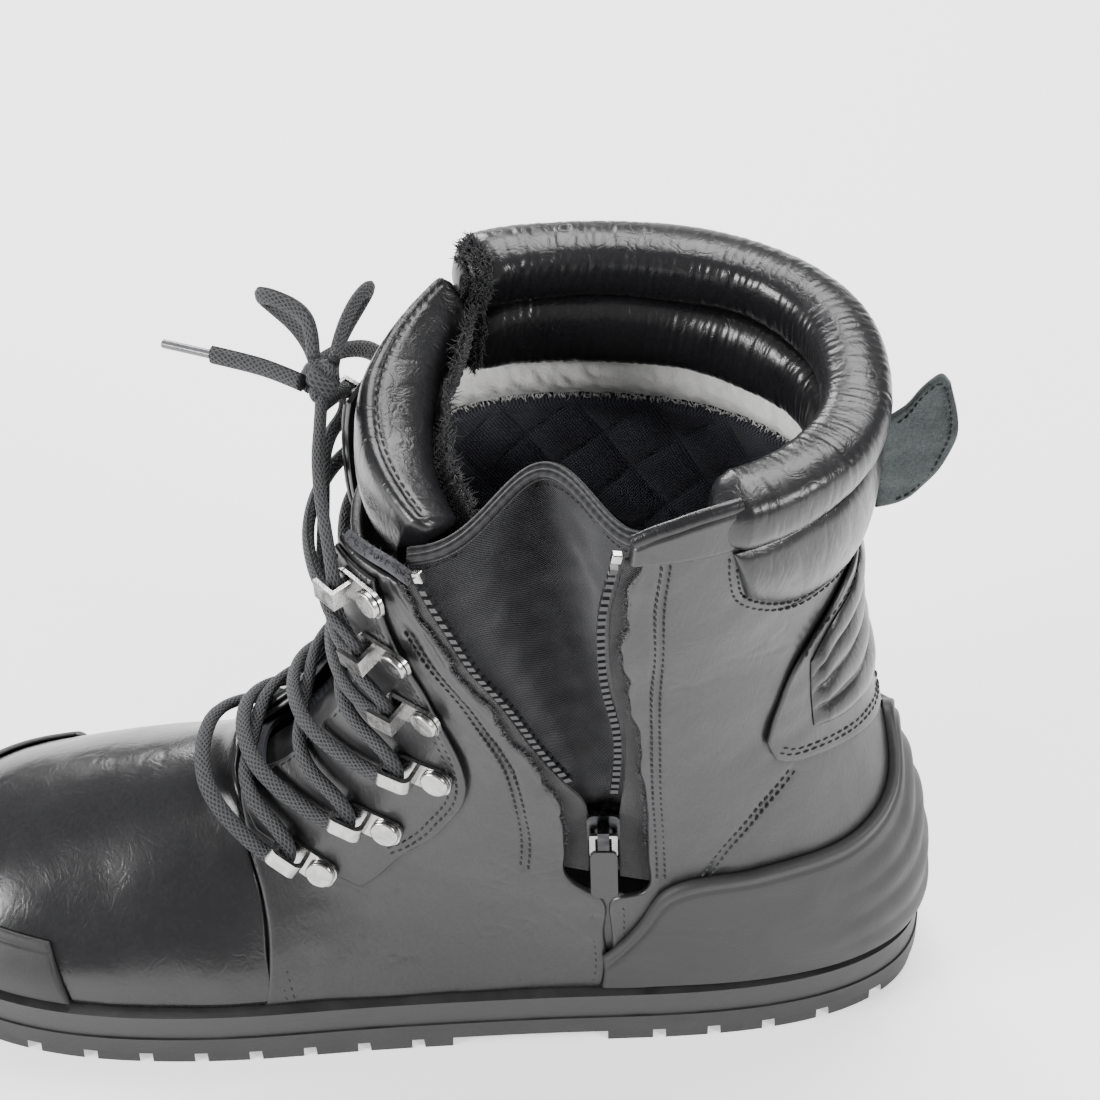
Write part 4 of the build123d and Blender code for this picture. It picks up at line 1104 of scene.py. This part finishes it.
def roll(name, node, start, end, profile, seed):
    """A stuffed leather roll round the leg, with creases across it."""
    (depth, height), (radius_in, radius_up) = profile
    angles = start + (end - start) * border_steps(ROLL_ROWS, 0.03)
    flat = np.ones(ROLL_ROWS)
    run = line_lengths(collar_point(angles, flat * depth, flat * height))
    shrink = 0.12 + 0.88 * rounded(np.minimum(run, run[-1] - run), ROLL_END)
    turn, cosine, sine, reach = squared_ring(ROLL_SEGMENTS, 2.3)
    tight = (run[:, None] / ROLL_WRINKLE, (sine * 0.45)[None], (cosine * 0.45)[None])
    loose = (run[:, None] / 30, (sine * 0.3)[None], (cosine * 0.3)[None])
    tight, loose = (np.stack(np.broadcast_arrays(*parts), -1) for parts in (tight, loose))
    strength = np.clip(0.55 + 0.6 * ripple(loose, seed + 5), 0.1, 1.2)
    dents = 0.16 * creases(tight, seed, 0.3) * strength + 0.08 * ripple(tight * 1.7, seed + 1)
    dents = dents - 0.5 * ripple(loose, seed + 2)
    out = reach[None] * shrink[:, None]
    depths = depth + (radius_in * out - dents * shrink[:, None]) * cosine[None]
    heights = height + (radius_up * out - dents * shrink[:, None]) * sine[None]
    points = collar_point(np.broadcast_to(angles[:, None], depths.shape), depths, heights)
    faces = ring_faces(ROLL_ROWS, ROLL_SEGMENTS)
    uv = np.stack(np.broadcast_arrays((turn * (radius_in + radius_up) / 2)[None], run[:, None]), -1)
    made = make_object(name, points.reshape(-1, 3), faces, "collar_leather",
                       uv=uv.reshape(-1, 2))
    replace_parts(turned_out(made), node)


def worn_end(name, profile, rings, seed):
    """Rings of loose dark fibres over the end of a roll, where its cut edge has frayed."""
    (depth, height), (radius_in, radius_up) = profile
    turn = np.radians(np.linspace(40, 250, 90))
    for i, (angle, size) in enumerate(rings):
        edge = collar_point(np.full(len(turn), angle), depth + radius_in * size * np.cos(turn),
                            height + radius_up * size * np.sin(turn))
        away = unit(edge - edge.mean(0) + np.array([-3.0, 0, 0]))
        fray("%s_fibres_%d" % (name, i + 1), edge, away, "knit", 2.8, 13.0, 0.24, seed + i,
             spread_out=0.9)


def puffy(points):
    """The stuffed swell of the collar's outer pad, with creases across it."""
    across = part_across(points)
    stretched = np.stack([lengths(points, 0) / 7, across * 0.9, across * 0], -1)
    swell = 3.3 * np.sin(np.pi * across) ** 0.7
    return swell + 0.2 * ripple(points / 20, 41) - 0.14 * creases(stretched, 43, 0.2)


def make_collar():
    """The padded collar: a roll over the top edge, one below it inside, and an outer pad."""
    roll("collar_top_roll", "collar_upper_roll", 112, 307, TOP_ROLL, 31)
    roll("collar_inside_roll", "collar_lower_roll", 111, 302, INSIDE_ROLL, 37)
    worn_end("top_roll", TOP_ROLL, ((306.4, 0.42), (305.2, 0.7), (304, 0.86), (302.6, 0.97)), 127)
    worn_end("inside_roll", INSIDE_ROLL, ((301.4, 0.42), (300.2, 0.7), (299, 0.86)), 137)
    top = [(1.0, 116)] + [(1.02, angle) for angle in (135, 157, 180, 215, 250, 285)] + [(1.0, 309)]
    pad = panel("collar_outer_pad", top, COLLAR_LOW, (0.4, 1.2), "collar_leather", "collar_leather", 260, 44,
                lip=3.0, relief=puffy)


QUILT = 17.0


def quilted(points):
    """Diamonds of quilting that swell between crossing stitch lines."""
    around = lengths(points, 1)
    down = lengths(points, 0)
    left = np.abs(np.sin(np.pi * (around + down) / QUILT / math.sqrt(2)))
    right = np.abs(np.sin(np.pi * (around - down) / QUILT / math.sqrt(2)))
    return 2.6 * (left * right) ** 0.35 + 0.15 * ripple(points / 14, 47)


def cloth(made):
    """Finds the triangles of a sheet's seen face; nothing more is done with them."""
    mesh = made.data
    seen = len(mesh.vertices) // 2
    mesh.calc_loop_triangles()
    corners = np.array([triangle.vertices for triangle in mesh.loop_triangles])
    corners = corners[(corners < seen).all(1)]


def column(angle, low_section, top=2.74, count=7):
    """A rail straight down the leg."""
    return [(top + (low_section - top) * i / (count - 1), angle) for i in range(count)]


def foot_rails(reaches):
    """The rails of a layer over the foot, from its outer to its inner edge."""
    return [(section, -angle) for section, angle in reaches], list(reaches)


def level(section, start, end, count=9):
    """A rail round the collar at one height."""
    return [(section, start + (end - start) * i / (count - 1)) for i in range(count)]


def quilted_lining(name, rail_a, rail_b, rows, columns, held, relief=None):
    """A lining of thin textile on the inside of the upper."""
    made = panel(name, rail_a, rail_b, LINING, "lining_textile", "lining_textile", rows, columns,
                 relief=relief, inside=True)
    cloth(made)


def make_linings():
    """The quilted lining of the leg, the padding behind it, and the lining of the foot."""
    quilted_lining("leg_lining", column(105, 7.9), column(334, 7.9), 200, 330, "rear_panel_inner", quilted)
    padding = panel("leg_padding", column(109.5, 6.1), column(334, 6.1), PADDING, "foam", "foam", 40, 80)
    front_start = [(2.05, 27), (3.0, 24), (4.4, 22), (5.8, 21), (7.0, 20), (7.9, 19)]
    front_end = [(2.05, 34), (3.0, 45), (4.4, 56), (5.8, 67), (7.0, 73), (7.9, 76)]
    quilted_lining("front_lining", front_start, front_end, 90, 60, "front_panel_inner", quilted)
    reach = [(8.05, 158), (8.4, 125), (8.9, 108), (9.6, 98.5), (10.6, 95.5), (11.6, 93), (12.6, 90.5),
             (13.6, 88), (14.6, 84.5), (15.2, 81)]
    quilted_lining("foot_lining", *foot_rails(reach), 120, 120, "vamp")
    reach = [(9.4, 100), (10.6, 97), (11.8, 95), (13.0, 92)]
    between = panel("vamp_interlining", *foot_rails(reach), PADDING, "foam", "foam", 40, 60)
    # The collar band: pale fleece whose near-white colour is partly painted glare.
    band = panel("collar_band", level(2.02, 110, 308), level(2.72, 110, 308), (-4.6, -2.4), "pale_fleece",
                 "pale_fleece", 300, 34, inside=True, relief=fluffy)
    edge = rail_points(level(2.7, 112, 306), -5.6)
    fray("band_fibres", edge, (0, 0, -1.0), "pale_fleece", 2.6, 3.0, 0.16, 59)


def fold_bulge(points):
    """A swell that is fullest at the lower part of a band."""
    return np.sin(np.pi * part_across(points) ** 1.2)


def fluffy(points):
    """The soft swell of the pale band."""
    return 4.6 * fold_bulge(points) + 0.4 * ripple(points / 4, 53)


def tongue_line(u, back, top):
    """The four long edges of the tongue's padding."""
    side = 2 * u - 1
    if back:
        x, y, z = ((13 + 9 * side ** 2, 5 + 34 * side, 214 + 6 * side) if top
                   else (10 * side ** 2, 3 + 23 * side, 191 + 2 * side))
    else:
        x, y, z = ((-10 + 19 * side ** 2, 3.5 + 42.5 * side, 226 + 9.5 * side) if top
                   else (-9 + 12 * side ** 2, 2 + 29 * side, 190 + 0 * side))
    return np.stack([x, y, z], -1)


TONGUE_ROWS = 240
TONGUE_SEGMENTS = 72


def make_tongue():
    """The padded top of the tongue, its knitted strip and its thin lower part."""
    u = -0.02 + 1.1 * border_steps(TONGUE_ROWS, COLUMN_BORDER)
    middle = (tongue_line(u, False, True) + tongue_line(u, True, True)) / 2
    run = line_lengths(middle)
    shrink = (0.15 + 0.85 * rounded(np.minimum(run, run[-1] - run), 6.0))[:, None]
    turn, cosine, sine, reach = squared_ring(TONGUE_SEGMENTS, 3.4)
    back = 0.5 + 0.5 * cosine[None] * reach[None] * shrink
    upward = 0.5 + 0.5 * sine[None] * reach[None] * shrink
    corners = {(b, t): tongue_line(u, b, t)[:, None] for b in (False, True) for t in (False, True)}

    def spot(a, b):
        """A point of the padding, a of the way to its back and b of the way to its top."""
        a, b = a[..., None], b[..., None]
        front = corners[False, False] * (1 - b) + corners[False, True] * b
        rear = corners[True, False] * (1 - b) + corners[True, True] * b
        return front * (1 - a) + rear * a

    points = spot(back, upward)
    centre = spot(np.full_like(back, 0.5), np.full_like(back, 0.5))
    away = unit(points - centre)
    seam = spot(np.full((TONGUE_ROWS, 1), 0.27), np.full((TONGUE_ROWS, 1), 1.0))[8:-8, 0]
    swell = 0.7 * ripple(points / 40, 61) + 0.08 * ripple(points / 10, 67)
    swell = swell - 0.12 * creases(points / 14, 71, 0.12)
    points = points + away * (swell + seam_relief(points, [seam], 0.9, 0.8, 6.0))[..., None]
    faces = ring_faces(TONGUE_ROWS, TONGUE_SEGMENTS)
    made = make_object("tongue_cushion", points.reshape(-1, 3), faces, "collar_leather",
                       "tongue_top")
    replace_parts(turned_out(made), "tongue_pad")
    upward_normal = unit(np.array([0.45, 0.0, 0.9]))
    sew(seam + upward_normal * 0.5, upward_normal, thick=0.8, body="tongue_top")
    make_knit_strip()
    low = [(8.4, 14), (6.5, 18), (5.0, 22), (3.6, 27), (2.55, 33)]
    lower = panel("tongue_lower", *foot_rails(low), (-10.5, -7.6), "black_leather", "black_leather", 110, 60,
                  relief=hide(73, 0.8, 0.2, 0.5))


def make_knit_strip():
    """The ribbed knit behind the top of the tongue, with a frayed upper edge."""
    u = np.linspace(0.02, 0.98, 160)[:, None]
    v = np.linspace(0.05, 1.0, 30)[None, :, None]
    low = tongue_line(u, True, False)
    high = tongue_line(u, True, True) + np.array([-1.0, 0, 7.0]) * u[..., None] ** 3
    sheet = low + (high - low) * v + np.array([2.6, 0, 0.4]) + np.array([3.0, 0, 1.0]) * np.sin(np.pi * v)
    ribs = 0.35 * np.cos(lengths(sheet, 0) / 1.7 * FULL_TURN)[..., None] * np.array([1.0, 0, 0.2])
    waves = (0.5 * ripple(sheet / 12, 79))[..., None] * np.array([1.0, 0, 0.4])
    made = shell("tongue_knit", sheet + waves - np.array([1.2, 0, 0]), sheet + ribs + waves, "knit",
                 "tongue_top")
    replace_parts(made, "tongue_knit_strip")
    cloth(made)
    edge = sheet[:, -1] + np.array([0, 0, 0.6])
    fray("knit_fibres", edge, (0.5, 0, 1.0), "knit", 4.4, 7.0, 0.24, 83, "tongue_top", 0.9)


# ---------------------------------------------------------------- zip and gusset
CUT_POINTS = 36


def make_zip():
    """The two tapes of the zip, and the loose fibres of the leather's cut edges beside them."""
    foot = ZIP_FOOT[1:]
    front = shifted(ZIP_FRONT, turn=-0.6) + shifted(foot, turn=-2.7)
    rear = shifted(ZIP_REAR, turn=0.6) + shifted(foot, turn=2.7)
    thickness = (ZIP_DEPTH - 0.35, ZIP_DEPTH + 0.35)
    for name, rail, width in (("zip_tape_front", front, -13), ("zip_tape_rear", rear, 12)):
        other = shifted(rail, turn=width)
        tape = panel(name, rail, other, thickness, "zip_tape", "zip_tape", 120, 24, lip=0.5)
        cloth(tape)
    for rail, seed in ((FRONT_CUT[:CUT_POINTS], 89), (REAR_CUT[:CUT_POINTS], 97)):
        edge = rail_points(rail, -1.2)
        towards = rail_points([(section, 88) for section, angle in rail], -1.0)
        fray("raw_edge_%d" % seed, edge, unit(towards - edge), "raw_leather", 1.1, 5.0, 0.14,
             seed, spread_out=0.7)


def gusset_sheet(u, v):
    """The folding gusset behind the open zip; u runs across it and v up it."""
    behind = -7.4
    front = [(7.15, 84)] + shifted(ZIP_FRONT[::-1], turn=-6)
    rear = [(7.15, 95)] + shifted(ZIP_REAR[::-1], turn=5)
    start = along(front, v)
    end = along(rear, v)
    start = place(start[..., 0], start[..., 1], behind)
    end = place(end[..., 0], end[..., 1], behind)
    rise = np.clip(v - 0.18, 0, None) / 0.82
    fold = 30 * rise ** 1.15 * np.sin(np.pi * u ** 1.3) ** 2.2
    flat = start * (1 - u)[..., None] + end * u[..., None]
    flat[..., 1] += fold
    return flat


def make_gusset():
    """The twill gusset with its soft folds, and the doubled piping along its top."""
    u, v = np.meshgrid(np.linspace(0, 1, 130), np.linspace(0, 0.985, 150), indexing="ij")
    sheet = gusset_sheet(u, v)
    normal = unit(np.cross(np.gradient(sheet, axis=0), np.gradient(sheet, axis=1)))
    hold = np.sin(np.pi * u) ** 0.6 * np.clip(v * 3, 0, 1)
    folds = np.stack([u * 3.2, v * 1.1, 0 * u], -1)
    waves = hold * (0.9 * ripple(folds, 101) + 0.35 * ripple(sheet / 9, 103))
    sheet = sheet + normal * waves[..., None]
    made = shell("zip_gusset_cloth", sheet - normal * 0.5, sheet + normal * 0.5, "twill")
    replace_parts(made, "zip_gusset")
    cloth(made)
    across = np.linspace(0, 1, 160)
    line = gusset_sheet(across, np.full(160, 0.985))
    middle = line + np.array([0, -0.6, 1.3])
    outer = tube("gusset_piping", middle, 3.4, 3.2, "knit", sides=16, taper=4)
    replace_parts(outer, "gusset_edge")
    tube("gusset_piping_inner", line + np.array([0, 1.9, 1.6]), 3.0, 2.8, "knit", sides=16, taper=4)
    stitched = line + np.array([0, -1.6, -2.2])
    sew(stitched, unit(np.array([0.0, -1.0, 0.35])), 2.6, 0.6)


def make_bindings():
    """The bound top edge behind the zip and the raw top edge in front of it."""
    top = [(0.66, 94.5), (0.5, 99), (0.4, 103), (0.3, 107), (0.22, 112), (0.18, 117)]
    low = [(1.0, angle) for section, angle in top]
    panel("rear_top_facing", top, low, (-3.4, 0.7), "black_leather", "black_leather", 60, 24,
          relief=hide(105), nodes=())
    rear = rail_points(shifted(top, down=-0.03), -1.8)
    tube("rear_top_binding", rear, 4.6, 3.4, "collar_leather", sides=18, taper=4)
    front = rail_points([(1.78, 49.5), (1.72, 43), (1.76, 35), (1.84, 27)], -2.0)
    tube("front_top_fold", front, 4.4, 3.0, "raw_leather", sides=18, taper=4)
    for seed, lift in ((107, 1.0), (109, 0.0)):
        fray("front_top_fibres_%d" % seed, front + np.array([0, -lift, 1.0]), (0, -0.3, 1.0), "raw_leather",
             2.4, 6.0, 0.2, seed, spread_out=0.9)


# ---------------------------------------------------------------- pull tab, rubber and hard parts
def make_heel_tab():
    """The suede pull tab, a stitched leaf that stands out from the back seam."""
    low = [(135.6, 187), (145, 190), (151, 198), (156, 209), (156.6, 219), (153.4, 233)]
    high = [(135.6, 219), (141.5, 224), (145, 229.5), (148.3, 233.4), (151, 235.4), (153.4, 233)]
    u = border_steps(70, 0.08)[:, None]
    v = border_steps(50, 0.08)[None, :]
    lower, upper = along(low, u), along(high, u)
    spots = lower + (upper - lower) * v[..., None]
    flat = np.stack([spots[..., 0], spots[..., 1], 0 * spots[..., 0]], -1)
    bend = 1.2 * np.sin(np.pi * u * 0.9) * np.ones_like(v) + 0.35 * ripple(flat / 15, 113)
    sheet = np.stack([spots[..., 0], bend, spots[..., 1]], -1)
    half = ((0.35 + 0.65 * edge_round(sheet, 1.6)) * 1.35)[..., None]
    across = np.array([0, 1.0, 0])
    made = shell("heel_tab_leaf", sheet + across * half, sheet - across * half, "suede", "heel_tab")
    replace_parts(made, "heel_pull_tab")
    inset = 2.4
    outline = np.concatenate([sheet[:, 0], sheet[::-1, -1]])
    centre = np.array([146, 0, 211.0])
    line = outline + unit(centre - outline) * inset
    for side in (-1.0, 1.0):
        sew(line[6:-6] + across * side * 1.3, across * side, 2.4, 0.6, 0.0, "heel_tab")


def banded(points):
    """The heel cup's rim and groove, and the moulded bands at its back."""
    at_back = np.clip(1 - np.abs(part_along(points) - 0.5) * 5, 0, 1)
    from_top = lengths(points, 1)
    rim = 0.9 * np.exp(-((from_top - 2.0) / 1.6) ** 2)
    groove = -0.5 * np.exp(-((from_top - 5.5) / 0.8) ** 2)
    return rim + groove + 1.3 * at_back * np.abs(np.sin(np.pi * 5 * part_across(points))) ** 1.5


def lined(points):
    """The toe bumper's swell and the groove below its upper edge."""
    return fold_bulge(points) - 0.5 * np.exp(-((lengths(points, 1) - 3.5) / 0.7) ** 2)


def around_heel(rail, section):
    """A rail from the inner side round the heel to the outer side."""
    return rail + [(section, 180)] + mirrored(rail)[::-1]


def make_rubber():
    """The heel cup with its moulded bands, the counter under it, and the toe bumper."""
    cup_top = [side_place(x, z) for x, z in [(60, 38), (78, 70), (106, 77), (133, 80), (144, 88)]]
    cup_low = [side_place(x, 24.2) for x in (60, 80, 106, 130, 149)]
    panel("heel_cup", around_heel(cup_top, 5.45), around_heel(cup_low, 7.98), (0.5, 2.4), "sole_rubber",
          "sole_rubber", 170, 90, relief=banded)
    counter_top = [side_place(x, z) for x, z in [(72, 40), (95, 58), (125, 64)]]
    counter_low = [side_place(x, 25) for x in (72, 95, 128)]
    panel("heel_counter", around_heel(counter_top, 6.5), around_heel(counter_low, 7.85), PADDING, "board",
          "board", 60, 30)
    top = [(13.3, 63), (14.3, 50), (15.0, 25), (15.2, 0)]
    low = [(13.3, 92.8), (14.5, 88.2), (15.9, 78), (16.7, 0)]
    top, low = (rail + [(section, -angle) for section, angle in rail[-2::-1]] for rail in (top, low))
    panel("toe_bumper", top, low, (0.5, 1.8), "sole_rubber", "sole_rubber", 140, 60, relief=lined)


HARD_FINISHES = {
    "outsole": "sole_rubber", "midsole": "midsole_rubber", "shank": "steel", "insole_board": "board",
    "puncture_plate": "composite", "footbed": "foam", "toe_cap": "composite",
    "zip_teeth_front": "zip_plastic",
    "zip_teeth_rear": "zip_plastic", "zip_closed_chain": "zip_plastic", "zip_bottom_stop": "zip_plastic",
    "zip_top_stops": "nickel", "zip_slider": "dark_nickel", "zip_puller_link": "nickel",
    "zip_pull_tab": "tab_rubber", "lace_lugs_inner": "nickel", "lace_lugs_outer": "nickel",
    "lace_hooks_inner": "nickel",
    "lace_hooks_outer": "nickel", "rivets_inner": "nickel", "rivets_outer": "nickel", "aglet_front": "aglet",
    "aglet_side": "aglet",
}
EDGE_WIDTHS = {"outsole": 0.0008, "midsole": 0.0008, "zip_pull_tab": 0.0006, "rivets_inner": 0.0003,
               "rivets_outer": 0.0003}
FINE_EDGE = 0.00025
EDGE_ANGLE = 40


def make_hard_parts():
    """Better finishes and softened edges for the CAD parts that stay."""
    for name, paint in HARD_FINISHES.items():
        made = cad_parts[name]
        made.data.materials.clear()
        made.data.materials.append(PAINTS[paint])
        bevel = made.modifiers.new("edges", "BEVEL")
        bevel.width = EDGE_WIDTHS.get(name, FINE_EDGE)
        bevel.segments = 3
        bevel.limit_method = "ANGLE"
        bevel.angle_limit = math.radians(EDGE_ANGLE)
        bevel.harden_normals = True


PAINTS = make_materials()
make_camera()
make_studio()
make_laces()
make_panels()
make_overlays()
make_seams()
make_collar()
make_linings()
make_tongue()
make_gusset()
make_zip()
make_bindings()
make_heel_tab()
make_rubber()
make_hard_parts()
finish_sewing()
